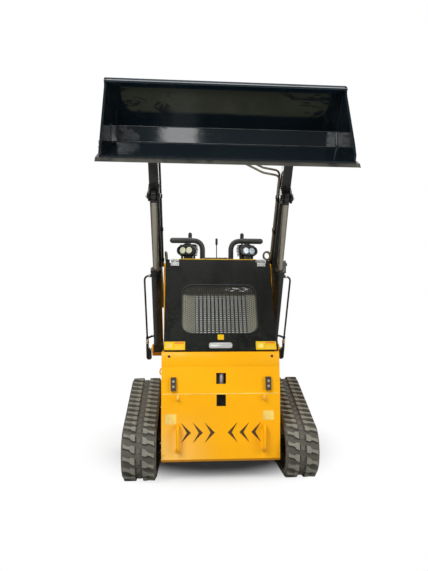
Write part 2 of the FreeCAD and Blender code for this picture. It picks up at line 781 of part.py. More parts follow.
def boom_hoses():
    """Two hoses along the inside of the right arm that cross to the tilt cylinder's ports, and
    one along the inside of the left arm."""
    shapes = []
    for i, across in enumerate(right_hose_rows):
        leave = on_beam(hose_leave + 20 * i, across)
        end_x = port_block[0] + 14 + 18 * i
        points = [side_vector(hose_x, on_beam(-20, across)), side_vector(hose_x, leave),
                  V(hose_x - 95, leave[0] - 14, leave[1] + 12), V(end_x + 34, port_block_y + 8, 1732 + 18 * i),
                  V(end_x, port_block_y, 1764 + 14 * i), V(end_x, port_block_y, port_block_z)]
        shapes.append(pipe(points, boom_hose_radius, [34, 60, 40, 24]))
    left = pipe([side_vector(-hose_x, on_beam(-20, left_hose_row)),
                 side_vector(-hose_x, on_beam(hose_leave - 60, left_hose_row)),
                 side_vector(-hose_x, on_beam(beam_length - cross_tube_radius - seat_gap, 0))], boom_hose_radius, [120])
    return group(shapes + [left])


def boom_hose_clamps():
    shapes = []
    for side, rows in ((1, right_hose_rows), (-1, (left_hose_row,))):
        for along in (30.0, 250.0, 470.0):
            start, end = on_beam(along - 10, 0), on_beam(along + 10, 0)
            for across in rows:
                a, b = stepped(start, beam_side, across), stepped(end, beam_side, across)
                band = rod_between(side_vector(hose_x, a), side_vector(hose_x, b), boom_hose_radius + 3)
                foot = rod_between(side_vector(hose_x, on_beam(along, across)),
                                   side_vector(arm_inner_x + 1, on_beam(along, across)), 7)
                hose = rod_between(side_vector(hose_x, on_beam(along - 30, across)),
                                   side_vector(hose_x, on_beam(along + 30, across)), boom_hose_radius + 0.1)
                ring = cut(fuse([band, foot]), [hose, box(arm_inner_x, arm_outer_x, 0, 900, 900, 2000)])
                shapes.append(ring if side > 0 else mirrored(ring))
    return group(shapes)


def boom_lock():
    """Spring-loaded transport lock on the outside of the right arm."""
    y, z = on_beam(-6, -6)
    body = rounded_box(arm_outer_x, arm_outer_x + 38, y - 16, y + 16, z - 30, z + 48, 12, X_AXIS)
    knob = disc(arm_outer_x + 38, arm_outer_x + 46, (y, z + 24), 10)
    return fuse([body, knob])


def boom_pivot_pins():
    pin = disc(plate_inner_x - 6, arm_outer_x + 6, boom_pivot, boom_pin_radius)
    head = disc(arm_outer_x + 1, arm_outer_x + 9, boom_pivot, 30)
    return group(both_sides(fuse([pin, head])))


nodes["boom_pivot_pins"] = boom_pivot_pins()
nodes["boom_hoses"] = boom_hoses()
nodes["boom_hose_clamps"] = boom_hose_clamps()
nodes["boom_lock"] = boom_lock()

# ---- lift cylinders -----------------------------------------------------------------------
lift_way = unit(lift_base, lift_eye)
lift_length = math.hypot(lift_eye[0] - lift_base[0], lift_eye[1] - lift_base[1])
lift_ear_x = lift_centre_x + lift_barrel_radius + side_clearance
lift_port_reach = lift_barrel_radius + 9
lift_pipe_x = lift_ear_x + lift_ear_thickness + lift_pipe_standoff


def lift_barrels():
    x = lift_centre_x
    foot = stepped(lift_base, lift_way, 40)
    mouth = stepped(lift_base, lift_way, lift_barrel_length)
    gland_foot = stepped(lift_base, lift_way, lift_barrel_length - 34)
    tube = rod_between(side_vector(x, foot), side_vector(x, mouth), lift_barrel_radius)
    gland = rod_between(side_vector(x, gland_foot), side_vector(x, mouth), lift_barrel_radius + 3)
    eye = link(lift_base, 27, foot, 27, x - lift_barrel_radius, x + lift_barrel_radius)
    bore_foot = stepped(lift_base, lift_way, 60)
    bore_end = stepped(lift_base, lift_way, lift_barrel_length + 5)
    bore = rod_between(side_vector(x, bore_foot), side_vector(x, bore_end), lift_rod_radius + bore_clearance)
    pin_hole = disc(0, 700, lift_base, lift_pin_radius + bore_clearance)
    ports = [disc(x, x + lift_port_reach, stepped(lift_base, lift_way, lift_barrel_length - 46), 9),
             disc(x, x + lift_port_reach - 5, stepped(lift_base, lift_way, 96), 7)]
    return group(both_sides(cut(fuse([tube, gland, eye] + ports), [bore, pin_hole])))


def lift_rods():
    x = lift_centre_x
    start = stepped(lift_base, lift_way, lift_barrel_length - 60)
    end = stepped(lift_eye, lift_way, -18)
    rod = rod_between(side_vector(x, start), side_vector(x, end), lift_rod_radius)
    eye = disc(x - 12, x + 12, lift_eye, 27)
    return group(both_sides(fuse([rod, eye])))


def lift_pipes():
    """Steel pipe outside each barrel, from the port near its mouth to the union at its foot."""
    start = lift_centre_x + lift_port_reach
    high = stepped(lift_base, lift_way, lift_barrel_length - 46)
    union_top = stepped(lift_base, lift_way, 72)
    union_foot = stepped(lift_base, lift_way, 46)
    tube = pipe([side_vector(start, high), side_vector(lift_pipe_x, high), side_vector(lift_pipe_x, union_top)],
                lift_pipe_radius, [24])
    union = rod_between(side_vector(lift_pipe_x, union_top), side_vector(lift_pipe_x, union_foot), 8)
    clip = stepped(lift_base, lift_way, 96)
    bridge = disc(start - 5, lift_pipe_x, clip, 5)
    return group(both_sides(fuse([tube, union, bridge])))


def lift_hoses():
    """Hose from the union round to a swivel end on the pivot's own line."""
    inner_x = lift_ear_x + lift_ear_thickness + 3 + lift_hose_radius
    spread = lift_pipe_x - inner_x
    top = stepped(lift_base, lift_way, 46)
    bottom = stepped(lift_base, lift_way, -48)
    loop = pipe([side_vector(lift_pipe_x, top), side_vector(lift_pipe_x, bottom), side_vector(inner_x, bottom),
                 side_vector(inner_x, lift_base)], lift_hose_radius, [spread * 0.45, spread * 0.45])
    end = disc(inner_x - 5, inner_x + 6, lift_base, 9)
    return group(both_sides(fuse([loop, end])))


def lift_brackets():
    """Outer ear of each cylinder foot, carried by a web behind it, with the pin."""
    y, z = lift_base
    x0, x1 = lift_ear_x, lift_ear_x + lift_ear_thickness
    web_y0, web_y1 = y + 50, y + 62
    ear = link(lift_base, 27, (y + 56, z - 16), 34, x0, x1)
    ear = ear.common(box(x0, x1, y - 100, web_y1, z - 100, z + 100))
    web = box(body_half_width, x1, web_y0, web_y1, z - 50, z + 18)
    pin = disc(plate_inner_x - 4, x1 + 1, lift_base, lift_pin_radius)
    return group(both_sides(fuse([ear, web, pin])))


nodes["lift_cylinder_barrels"] = lift_barrels()
nodes["lift_cylinder_rods"] = lift_rods()
nodes["lift_cylinder_pipes"] = lift_pipes()
nodes["lift_cylinder_hoses"] = lift_hoses()
nodes["lift_cylinder_brackets"] = lift_brackets()

# ---- bucket -------------------------------------------------------------------------------


def bucket_place(along, up):
    """A point given in the bucket's own frame, floor level and edge at its origin."""
    a = math.radians(bucket_dump)
    return (bucket_edge[0] + along * math.cos(a) - up * math.sin(a),
            bucket_edge[1] + along * math.sin(a) + up * math.cos(a))


tilt_eye = (bucket_pin[0] + tilt_eye_radius_at_bucket * math.cos(math.radians(tilt_eye_angle)),
            bucket_pin[1] + tilt_eye_radius_at_bucket * math.sin(math.radians(tilt_eye_angle)))


def back_wall(up, out):
    """A point on the bucket's upper back wall, in the bucket's own frame."""
    (low_along, low_up), (high_along, high_up) = bucket_profile[2:4]
    share = (up - low_up) / (high_up - low_up)
    return bucket_place(low_along + (high_along - low_along) * share + out, up)


def bucket_shell():
    inner = list(bucket_profile)
    t = bucket_plate
    outer = []
    for i, point in enumerate(inner):
        ways = []
        if i > 0:
            ways.append(unit(inner[i - 1], point))
        if i < len(inner) - 1:
            ways.append(unit(point, inner[i + 1]))
        normals = [(w[1], -w[0]) for w in ways]
        ny, nz = sum(n[0] for n in normals), sum(n[1] for n in normals)
        scale = math.hypot(ny, nz)
        ny, nz = ny / scale, nz / scale
        reach = t / (ny * normals[0][0] + nz * normals[0][1])
        outer.append((point[0] + ny * reach, point[1] + nz * reach))
    half = bucket_half_width
    sheet = prism([bucket_place(*p) for p in inner + outer[::-1]], -half, half)
    side_outline = [(12, -t), (outer[1][0], -t), outer[2], outer[3], (inner[3][0] - 14, inner[3][1] + 4),
                    (inner[3][0] - 30, inner[3][1] - 30), (60, 70), (12, 26)]
    placed = [bucket_place(*p) for p in side_outline]
    sides = [prism(placed, half - 10, half), prism(placed, -half, -half + 10)]
    back = unit(inner[3], inner[2])
    lip_root = inner[3]
    lip_way = (-math.cos(math.radians(20)), -math.sin(math.radians(20)))
    lip_end = stepped(lip_root, lip_way, 30)
    lip = prism([bucket_place(*p) for p in
                 (lip_root, lip_end, stepped(lip_end, (0, 1), t), stepped(outer[3], (0, 1), 3),
                  stepped(lip_root, back, 10))], -half, half)
    return fuse([sheet, lip] + sides)


def bucket_cutting_edge():
    half = bucket_half_width + edge_overhang
    t = bucket_plate
    bar = prism([bucket_place(*p) for p in ((-22, -t - 12), (0, -t), (100, -t), (100, -t - 12))], -half, half)
    return bar


def bucket_mount():
    """Ears that carry the two bucket pins and the tilt cylinder's eye."""
    parts = []
    heel = bucket_profile[2]
    for side in (-1, 1):
        for x in (arm_inner_x - side_clearance - 12, arm_outer_x + side_clearance):
            x0, x1 = sorted((side * x, side * (x + 12)))
            ear = fuse([disc(x0, x1, bucket_pin, 30),
                        prism([bucket_place(heel[0] + 9, heel[1] - 36), back_wall(heel[1], 9), back_wall(210, 5),
                               stepped(bucket_pin, (0.64, 0.77), 29),
                               stepped(bucket_pin, (0.64, -0.77), 29)], x0, x1)])
            parts.append(ear)
    for x0 in (tilt_plate_x0 - 4, -tilt_plate_x1 + 4):
        ear = fuse([disc(x0, x0 + 8, tilt_eye, 24),
                    prism([back_wall(110, 3), back_wall(245, 3), stepped(tilt_eye, (0.3, 0.95), 23),
                           stepped(tilt_eye, (0.3, -0.95), 23)], x0, x0 + 8)])
        parts.append(ear)
    return parts


nodes["bucket_shell"] = bucket_shell()
nodes["bucket_cutting_edge"] = bucket_cutting_edge()


def bucket_pins():
    parts = bucket_mount()
    pins = []
    for side in (-1, 1):
        x0, x1 = sorted((side * (arm_inner_x - side_clearance - 18), side * (arm_outer_x + side_clearance + 18)))
        pins.append(disc(x0, x1, bucket_pin, bucket_pin_radius))
    heel_up = bucket_profile[2][1]
    backing = prism([back_wall(heel_up, 9), back_wall(195, 1), back_wall(198, 12), back_wall(heel_up + 2, 19)],
                    -arm_outer_x - 17, arm_outer_x + 17)
    return fuse(parts + pins + [backing])


mount = bucket_pins()
nodes["bucket_mount_frame"] = mount.cut(nodes["bucket_shell"])

# ---- tilt cylinder ------------------------------------------------------------------------
tilt_way = unit(tilt_base, tilt_eye)


def tilt_barrel():
    foot = stepped(tilt_base, tilt_way, 20)
    mouth = stepped(tilt_base, tilt_way, tilt_barrel_length)
    gland_foot = stepped(tilt_base, tilt_way, tilt_barrel_length - 30)
    tube = rod_between(side_vector(0, foot), side_vector(0, mouth), tilt_barrel_radius)
    gland = rod_between(side_vector(0, gland_foot), side_vector(0, mouth), tilt_barrel_radius + 3)
    eye = link(tilt_base, 25, foot, 25, -31, 31)
    bore = rod_between(side_vector(0, stepped(tilt_base, tilt_way, 50)),
                       side_vector(0, stepped(tilt_base, tilt_way, tilt_barrel_length + 5)),
                       tilt_rod_radius + bore_clearance)
    return cut(fuse([tube, gland, eye]), [bore, disc(-100, 100, tilt_base, tilt_pin_radius + bore_clearance)])


def tilt_rod():
    start = stepped(tilt_base, tilt_way, tilt_barrel_length - 50)
    end = stepped(tilt_eye, tilt_way, -16)
    rod = rod_between(side_vector(0, start), side_vector(0, end), tilt_rod_radius)
    eye = disc(-26, 26, tilt_eye, 23)
    return fuse([rod, eye])


nodes["tilt_cylinder_barrel"] = tilt_barrel()
nodes["tilt_cylinder_rod"] = tilt_rod()

# ---- rear platform ------------------------------------------------------------------------


def standing_platform():
    y, z = platform_hinge
    ear_x0 = platform_half_width - 12
    plate = box(-platform_half_width, platform_half_width, y + 30, y + 30 + platform_length,
                z - 34, z - 34 + 6)
    rim = [box(-platform_half_width, -platform_half_width + 5, y + 30, y + 30 + platform_length, z - 34,
               z - 34 + platform_thickness),
           box(platform_half_width - 5, platform_half_width, y + 30, y + 30 + platform_length, z - 34,
               z - 34 + platform_thickness),
           box(-platform_half_width, platform_half_width, y + 25 + platform_length,
               y + 30 + platform_length, z - 34, z - 34 + platform_thickness)]
    parts = [plate] + rim
    for side in (-1, 1):
        x0, x1 = sorted((side * ear_x0, side * (ear_x0 + 10)))
        parts.append(link(platform_hinge, 18, (y + 60, z - 16), 16, x0, x1))
        parts.append(disc(min(side * 150, x1 if side > 0 else x0), max(side * 150, x1 if side > 0 else x0),
                          platform_hinge, platform_pin_radius - bore_clearance))
    return fuse(parts)


nodes["standing_platform"] = standing_platform()

# ---- place and write ----------------------------------------------------------------------
front_y = min(shape.BoundBox.YMin for shape in nodes.values())
rear_y = max(shape.BoundBox.YMax for shape in nodes.values())
shift_y = -(front_y + rear_y) / 2

os.makedirs("parts", exist_ok=True)
for name, shape in nodes.items():
    placed = shape.copy()
    placed.translate(V(0, shift_y, 0))
    placed.exportStep("parts/" + name + ".step")
    print(name, len(placed.Solids), "solids, valid", placed.isValid(), round(placed.Volume / 1e6, 3), "litres")
print("shift along Y", round(shift_y, 3), "length", round(rear_y - front_y, 1))
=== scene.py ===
import bpy
import bmesh
import json
import math
from mathutils import Matrix, Vector


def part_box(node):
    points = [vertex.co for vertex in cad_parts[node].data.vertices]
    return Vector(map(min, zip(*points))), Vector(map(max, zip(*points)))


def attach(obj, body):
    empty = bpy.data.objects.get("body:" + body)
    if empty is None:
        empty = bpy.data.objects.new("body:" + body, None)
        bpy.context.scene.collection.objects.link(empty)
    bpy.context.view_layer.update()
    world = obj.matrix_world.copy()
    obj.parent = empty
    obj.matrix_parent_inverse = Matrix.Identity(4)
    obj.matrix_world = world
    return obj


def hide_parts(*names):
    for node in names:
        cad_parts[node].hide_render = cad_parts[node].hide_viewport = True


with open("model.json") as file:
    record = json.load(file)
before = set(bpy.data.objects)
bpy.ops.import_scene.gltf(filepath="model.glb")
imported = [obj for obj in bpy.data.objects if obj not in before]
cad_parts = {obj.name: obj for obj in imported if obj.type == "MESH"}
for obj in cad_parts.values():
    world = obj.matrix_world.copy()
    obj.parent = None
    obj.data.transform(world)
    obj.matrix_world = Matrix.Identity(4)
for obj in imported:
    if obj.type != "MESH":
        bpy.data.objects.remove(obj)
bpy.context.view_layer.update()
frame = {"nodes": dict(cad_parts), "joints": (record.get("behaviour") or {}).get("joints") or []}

nodes = frame["nodes"]
print("frame loaded,", len(nodes), "nodes")

rightward, forward, upward = Vector((1, 0, 0)), Vector((0, -1, 0)), Vector((0, 0, 1))
backward = -forward
bothSides = (-1, 1)


# Where things are, read from the frame.
def at(x, y, z):
    return Vector((x, y, z))


def low(node):
    return Vector(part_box(node)[0])


def high(node):
    return Vector(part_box(node)[1])


def middle(node):
    return (low(node) + high(node)) / 2


def jointOf(name):
    return next(entry for entry in frame["joints"] if entry["name"] == name)


def pivotOf(joint):
    return Vector(jointOf(joint)["pos_m"])


hoodLean = math.radians(31)
hoodFoot = low("hood")
hoodUp = at(0, math.sin(hoodLean), math.cos(hoodLean))
hoodOut = at(0, -math.cos(hoodLean), math.sin(hoodLean))


def onHood(across, height, out=0.0):
    run = (height - hoodFoot.z) * math.tan(hoodLean)
    return at(across, hoodFoot.y + run, height) + hoodOut * out


def spread(start, end, count):
    return [start + (end - start) * i / (count - 1) for i in range(count)]


def circle(centre, radius, count, start=0.0, across=backward, up=upward):
    # Evenly spaced places round a circle.
    angles = [start + 2 * math.pi * i / count for i in range(count)]
    return [centre + (across * math.cos(angle) + up * math.sin(angle)) * radius for angle in angles]


# Node trees for the finishes.
def feed(node, values):
    # Each value is a socket to link, a number or a colour.
    for key, value in values.items():
        socket = node.inputs[key]
        if hasattr(value, "is_linked"):
            node.id_data.links.new(value, socket)
        else:
            isColour = socket.type == "RGBA" and len(value) == 3
            socket.default_value = (*value, 1) if isColour else value
    return node


def added(source, kind, values):
    # A new node in the tree that the source node or socket is in.
    return feed(source.id_data.nodes.new("ShaderNode" + kind), values)


def newMaterial(name):
    material = bpy.data.materials.new(name)
    material.use_nodes = True
    tree = material.node_tree
    return material, tree.nodes["Principled BSDF"], tree.nodes.new("ShaderNodeTexCoord").outputs["Object"]


def mapped(coords, scale, rotation=(0, 0, 0)):
    return added(coords, "Mapping", {"Vector": coords, "Scale": scale, "Rotation": rotation}).outputs["Vector"]


def noise(coords, scale, detail=4.0, rough=0.55, warp=0.0):
    return added(coords, "TexNoise", {"Vector": coords, "Scale": scale, "Detail": detail, "Roughness": rough,
                                      "Distortion": warp}).outputs["Fac"]


def ramp(value, *stops):
    node = added(value, "ValToRGB", {"Fac": value})
    for element, (place, colour) in zip(node.color_ramp.elements, stops):
        element.position = place
        element.color = (*colour, 1)
    return node.outputs["Color"]


def shaded(tone, share):
    return tuple(min(1.0, part * share) for part in tone)


def mix(factor, first, second):
    node = factor.id_data.nodes.new("ShaderNodeMix")
    node.data_type = "RGBA"
    return feed(node, {"Factor": factor, 6: first, 7: second}).outputs[2]


def sums(way, first, second=0.0):
    node = first.id_data.nodes.new("ShaderNodeMath")
    node.operation = way
    return feed(node, {0: first, 1: second}).outputs[0]


def times(first, *others):
    for other in others:
        first = sums("MULTIPLY", first, other)
    return first


def plus(first, second):
    return sums("ADD", first, second)


def split(coords):
    return added(coords, "SeparateXYZ", {0: coords}).outputs


def fade(value, start, end, least=0.0, most=1.0):
    node = added(value, "MapRange", {"Value": value, "From Min": start, "From Max": end,
                                     "To Min": least, "To Max": most})
    node.interpolation_type = "SMOOTHSTEP"
    return node.outputs["Result"]


def fadeOut(value, start, end):
    return fade(value, start, end, 1.0, 0.0)


def dress(shader, colour, rough, more={}):
    feed(shader, {"Base Color": colour, "Roughness": rough, **more})


def bumped(shader, height, strength, distance):
    bump = added(shader, "Bump", {"Height": height, "Strength": strength, "Distance": distance})
    feed(shader, {"Normal": bump.outputs["Normal"]})


def chips(coords, size, edge, patches, end):
    # Small chips, 1 inside and 0 outside, in scattered patches.
    cells = added(coords, "TexVoronoi", {"Vector": coords, "Scale": size})
    spots = fadeOut(cells.outputs["Distance"], edge, edge + 0.04)
    return times(spots, fade(noise(coords, patches, 2), 0.62, end))


# Mesh helpers. A shape is a bmesh that is filled step by step and then made into one piece.
def turnTo(way):
    # The turn that brings upright to the way.
    facing = Vector(way).normalized()
    side = rightward - facing * facing.x
    if side.length < 1e-3:
        side = backward - facing * facing.y
    side.normalize()
    return Matrix((side, facing.cross(side), facing)).transposed().to_4x4()


def facesOf(verts):
    return {face for vert in verts for face in vert.link_faces}


def edgesOf(verts):
    return {edge for vert in verts for edge in vert.link_edges}


def marked(verts, index):
    for face in facesOf(verts):
        face.material_index = index


def bevelled(shape, edges, width):
    bmesh.ops.bevel(shape, geom=list(edges), offset=width, offset_type="OFFSET", segments=2,
                    profile=0.5, affect="EDGES", clamp_overlap=True, material=-1)


def addBlock(shape, centre, size, turn=None, bevel=0.0, index=0):
    spot = Matrix.Translation(centre) @ (turn or Matrix()) @ Matrix.Diagonal((*size, 1))
    made = bmesh.ops.create_cube(shape, size=1, matrix=spot)["verts"]
    marked(made, index)
    if bevel:
        bevelled(shape, edgesOf(made), bevel)


def addRound(shape, start, end, radius, tip=None, sides=24, bevel=0.0, index=0):
    start, end = Vector(start), Vector(end)
    way = end - start
    spot = Matrix.Translation((start + end) / 2) @ turnTo(way)
    tip = radius if tip is None else tip
    made = bmesh.ops.create_cone(shape, cap_ends=True, segments=sides, radius1=radius, radius2=tip,
                                 depth=way.length, matrix=spot)["verts"]
    marked(made, index)
    if bevel:
        rims = [edge for edge in edgesOf(made) if any(len(face.verts) == sides for face in edge.link_faces)]
        bevelled(shape, rims, bevel)


def addRod(shape, place, way, start, end, radius, **more):
    # A round part that runs from start to end along the way, measured from the place.
    addRound(shape, place + way * start, place + way * end, radius, **more)


def addBolt(shape, place, way, size, index=0):
    # A hexagon head on its washer.
    place, way = Vector(place), Vector(way).normalized() * size
    addRod(shape, place, way, 0, 0.16, size * 0.95, sides=20, index=index)
    addRod(shape, place, way, 0.16, 0.7, size * 0.62, sides=6, bevel=size * 0.08, index=index)


def addScrew(shape, place, way, size, index=0):
    way = Vector(way).normalized() * size
    addRod(shape, Vector(place), way, 0, 0.5, size, tip=size * 0.72, sides=18, index=index)


def addRing(shape, centre, way, radius, thickness, sides=28, index=0):
    turn = turnTo(way)
    path = circle(Vector(centre), radius, sides, 0.0, turn.col[0].xyz, turn.col[1].xyz)
    addTube(shape, path, thickness, 8, closed=True, index=index)


def addTube(shape, path, radius, sides=12, closed=False, rounded=False, index=0):
    # A round tube along a path, each ring turned as little as the path allows.
    count = len(path)
    ways = []
    for i in range(count):
        after = path[(i + 1) % count] if closed or i < count - 1 else path[i]
        before = path[i - 1] if closed or i > 0 else path[i]
        ways.append((after - before).normalized())
    side = turnTo(ways[0]).col[0].xyz
    stations = [(place, way, radius) for place, way in zip(path, ways)]
    if rounded:
        caps = [(0.5, 0.87), (0.87, 0.5), (0.99, 0.12)]
        ends = [(path[-1] + ways[-1] * radius * out, ways[-1], radius * share) for out, share in caps]
        starts = [(path[0] - ways[0] * radius * out, ways[0], radius * share) for out, share in caps[::-1]]
        stations = starts + stations + ends
    rings = []
    for place, way, reach in stations:
        side = (side - way * side.dot(way)).normalized()
        ring = circle(place, reach, sides, 0.0, side, way.cross(side))
        rings.append([shape.verts.new(spot) for spot in ring])
    joinRings(shape, rings, closed, index)
    if not closed:
        for ring in (rings[0][::-1], rings[-1]):
            shape.faces.new(ring).material_index = index


def joinRings(shape, rings, closed=True, index=0):
    pairs = list(zip(rings, rings[1:])) + ([(rings[-1], rings[0])] if closed else [])
    for first, second in pairs:
        for i in range(len(first)):
            j = (i + 1) % len(first)
            shape.faces.new((first[i], first[j], second[j], second[i])).material_index = index


def bentPath(corners, bend, steps=7):
    # Straight runs with each corner eased into a curve.
    corners = [Vector(corner) for corner in corners]
    path = [corners[0]]
    for before, corner, after in zip(corners, corners[1:], corners[2:]):
        start = corner + (before - corner).normalized() * bend
        end = corner + (after - corner).normalized() * bend
        for share in spread(0, 1, steps + 1):
            path.append(start.lerp(corner, share).lerp(corner.lerp(end, share), share))
    path.append(corners[-1])
    return path


def addPlate(shape, outline, thickness, bevel=0.0, index=0):
    # A flat outline in space, thickened by a vector.
    verts = [shape.verts.new(point) for point in outline]
    face = shape.faces.new(verts)
    face.material_index = index
    made = bmesh.ops.extrude_face_region(shape, geom=[face])
    moved = [item for item in made["geom"] if isinstance(item, bmesh.types.BMVert)]
    bmesh.ops.translate(shape, verts=moved, vec=thickness)
    marked(moved, index)
    if bevel:
        bevelled(shape, edgesOf(moved) | edgesOf(verts), bevel)


def roundedOutline(centre, across, up, width, height, radius, steps=6):
    points = []
    for sideX, sideY, start in ((1, 1, 0), (-1, 1, 90), (-1, -1, 180), (1, -1, 270)):
        for turn in spread(start, start + 90, steps + 1):
            angle = math.radians(turn)
            u = sideX * (width / 2 - radius) + radius * math.cos(angle)
            v = sideY * (height / 2 - radius) + radius * math.sin(angle)
            points.append(Vector(centre) + across * u + up * v)
    return points


def addPad(shape, centre, up, size, radius, thickness, steps=6, bevel=0.0, index=0, across=rightward):
    # A plate with rounded corners.
    addPlate(shape, roundedOutline(centre, across, up, *size, radius, steps), thickness, bevel, index)


def newPiece(name, shape, looks, body, angle=32, stands=()):
    bmesh.ops.recalc_face_normals(shape, faces=shape.faces)
    mesh = bpy.data.meshes.new(name)
    shape.to_mesh(mesh)
    shape.free()
    for look in looks:
        mesh.materials.append(finishes[look])
    mesh.shade_smooth()
    mesh.set_sharp_from_angle(angle=math.radians(angle))
    piece = bpy.data.objects.new(name, mesh)
    bpy.context.scene.collection.objects.link(piece)
    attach(piece, body)
    if stands:
        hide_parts(*stands)
    return piece


# Finishes.
enamelLook = {
    # Painted light and shade for the front panel: a paler lower corner colour and a darker foot colour.
    "tone": (0.96, 0.435, 0.002), "cornerLight": (0.98, 0.66, 0.2), "foot": (0.42, 0.17, 0.004),
    "stain": (0.42, 0.22, 0.03), "dust": (0.4, 0.28, 0.14), "chip": (0.09, 0.07, 0.055),
    "rough": 0.36, "coat": 0.1, "peel": 0.05, "dustLine": 0.16, "chips": 0.7,
}


def yellowEnamel(name, tone=enamelLook["tone"], paintedCornerLight=0.0, dust=0.2, stained=0.12):
    look = enamelLook
    material, shader, coords = newMaterial(name)
    broad = noise(coords, 3.2, 3, 0.6, 0.4)
    fine = noise(coords, 46, 5, 0.7)
    across, along, up = split(coords)
    colour = ramp(broad, (0.3, shaded(tone, 0.95)), (0.7, shaded(tone, 1.04)))
    # Painted light: the panel turns paler towards its lower left corner.
    if paintedCornerLight:
        corner = times(fadeOut(across, -0.32, 0.02), fadeOut(up, 0.1, 0.42), paintedCornerLight)
        colour = mix(corner, colour, look["cornerLight"])
        # Painted shade: a thin strip along the panel's foot is darker.
        foot = low("front_panel").z
        colour = mix(fadeOut(up, foot + 0.009, foot + 0.013), colour, look["foot"])
    stains = times(fade(fine, 0.5, 0.72), fade(broad, 0.4, 0.7), stained)
    colour = mix(stains, colour, look["stain"])
    dusty = times(fadeOut(up, look["dustLine"], look["dustLine"] + 0.12), fade(fine, 0.4, 0.7), dust)
    colour = mix(dusty, colour, look["dust"])
    colour = mix(times(chips(coords, 70, 0.05, 9, 0.7), look["chips"]), colour, look["chip"])
    dress(shader, colour, fade(fine, 0.3, 0.7, look["rough"] - 0.05, look["rough"] + 0.12),
          {"Specular IOR Level": 0.14, "Coat Weight": look["coat"], "Coat Roughness": 0.1})
    bumped(shader, noise(coords, 230, 2, 0.5), look["peel"], 0.0006)
    return material


def blackPaint(name, tone, rough, coat, dust, peel=0.06):
    tones = {"dust": (0.12, 0.11, 0.09), "chip": (0.15, 0.14, 0.13)}
    material, shader, coords = newMaterial(name)
    broad = noise(coords, 4.5, 4, 0.6, 0.6)
    fine = noise(coords, 60, 5, 0.7)
    patches = noise(mapped(coords, (1.6, 1.0, 1.0)), 3.1, 2, 0.45, 1.2)
    colour = ramp(broad, (0.3, shaded(tone, 0.75)), (0.72, shaded(tone, 1.35)))
    colour = mix(fade(patches, 0.5, 0.66), colour, shaded(tone, 0.3))
    colour = mix(times(fade(fine, 0.42, 0.75), fade(broad, 0.42, 0.72), dust), colour, tones["dust"])
    colour = mix(times(chips(coords, 85, 0.04, 7, 0.72), 0.6), colour, tones["chip"])
    dress(shader, colour, fade(fine, 0.3, 0.75, rough - 0.06, rough + 0.16),
          {"Specular IOR Level": 0.22, "Coat Weight": coat, "Coat Roughness": 0.1})
    bumped(shader, noise(coords, 260, 3, 0.6), peel, 0.0005)
    return material


def bucketEnamel():
    # Gloss black paint. Its brownish back plate is a painted reflection, the blue-black towards the side plates
    # and below the fold is painted shade, the blue-black band along the lip is a painted reflection, and it has
    # dark smears.
    # The back plate colour is a painted reflection, the corner colour is painted shade and also colours the
    # smears, and the lip colour is a painted reflection.
    look = {"wall": (0.042, 0.045, 0.033), "shadeAndSmear": (0.004, 0.008, 0.011), "lip": (0.006, 0.015, 0.022),
            "haze": (0.11, 0.12, 0.11), "reach": 0.10, "fold": 0.60, "smears": 0.85}
    material, shader, coords = newMaterial("bucketEnamel")
    broad = noise(coords, 2.6, 4, 0.6, 0.8)
    fine = noise(coords, 75, 5, 0.75)
    across, along, up = split(coords)
    foot, top, half = low("bucket_shell").z, high("bucket_shell").z, high("bucket_shell").x
    fold = foot + (top - foot) * look["fold"]
    # The brownish base colour is a painted reflection on the back plate.
    colour = ramp(broad, (0.25, shaded(look["wall"], 0.7)), (0.75, shaded(look["wall"], 1.25)))
    wide = sums("ABSOLUTE", across)
    # Painted shade: blue-black towards the side plates and below the fold.
    sideShade = fade(wide, half - 0.14, half, 0.0, 0.18)
    lowShade = fade(up, fold - 0.03, fold + 0.14, 0.17, 0.0)
    far = plus(sums("SQRT", plus(times(sideShade, sideShade), times(lowShade, lowShade))), times(broad, 0.02))
    colour = mix(fade(far, look["reach"], look["reach"] + 0.02), colour, look["shadeAndSmear"])
    smear = noise(mapped(coords, (1.0, 2.5, 2.5), (0, 0.5, 0)), 5.5, 5, 0.62, 1.6)
    smear = times(fade(smear, 0.54, 0.58), fade(wide, 0.2, 0.3))
    colour = mix(times(smear, look["smears"]), colour, look["shadeAndSmear"])
    # Painted reflection: a blue-black band along the lip.
    colour = mix(fade(up, top - 0.034, top - 0.030), colour, look["lip"])
    colour = mix(times(fade(fine, 0.4, 0.8), fade(broad, 0.5, 0.75), 0.1), colour, look["haze"])
    streaks = noise(mapped(coords, (3, 60, 60)), 6, 3, 0.6)
    rough = plus(fade(streaks, 0.35, 0.8, 0.05, 0.12), fade(smear, 0.0, 1.0, 0.0, 0.12))
    rough = plus(rough, fade(up, top - 0.020, top - 0.012, 0.0, 0.75))
    dress(shader, colour, rough, {"Specular IOR Level": 0.38})
    bumped(shader, noise(coords, 18, 3, 0.5), 0.1, 0.0015)
    return material


def steelFinish(name, tone, rough, stain, metal):
    material, shader, coords = newMaterial(name)
    lines = noise(mapped(coords, (30, 30, 30)), 1.5, 3, 0.6)
    broad = noise(coords, 14, 4, 0.65)
    colour = ramp(lines, (0.3, shaded(tone, 0.86)), (0.7, tone))
    colour = mix(times(fade(broad, 0.5, 0.75), stain), colour, (0.14, 0.12, 0.09))
    dress(shader, colour, fade(broad, 0.3, 0.75, rough - 0.05, rough + 0.14), {"Metallic": metal})
    bumped(shader, lines, 0.06, 0.0003)
    return material


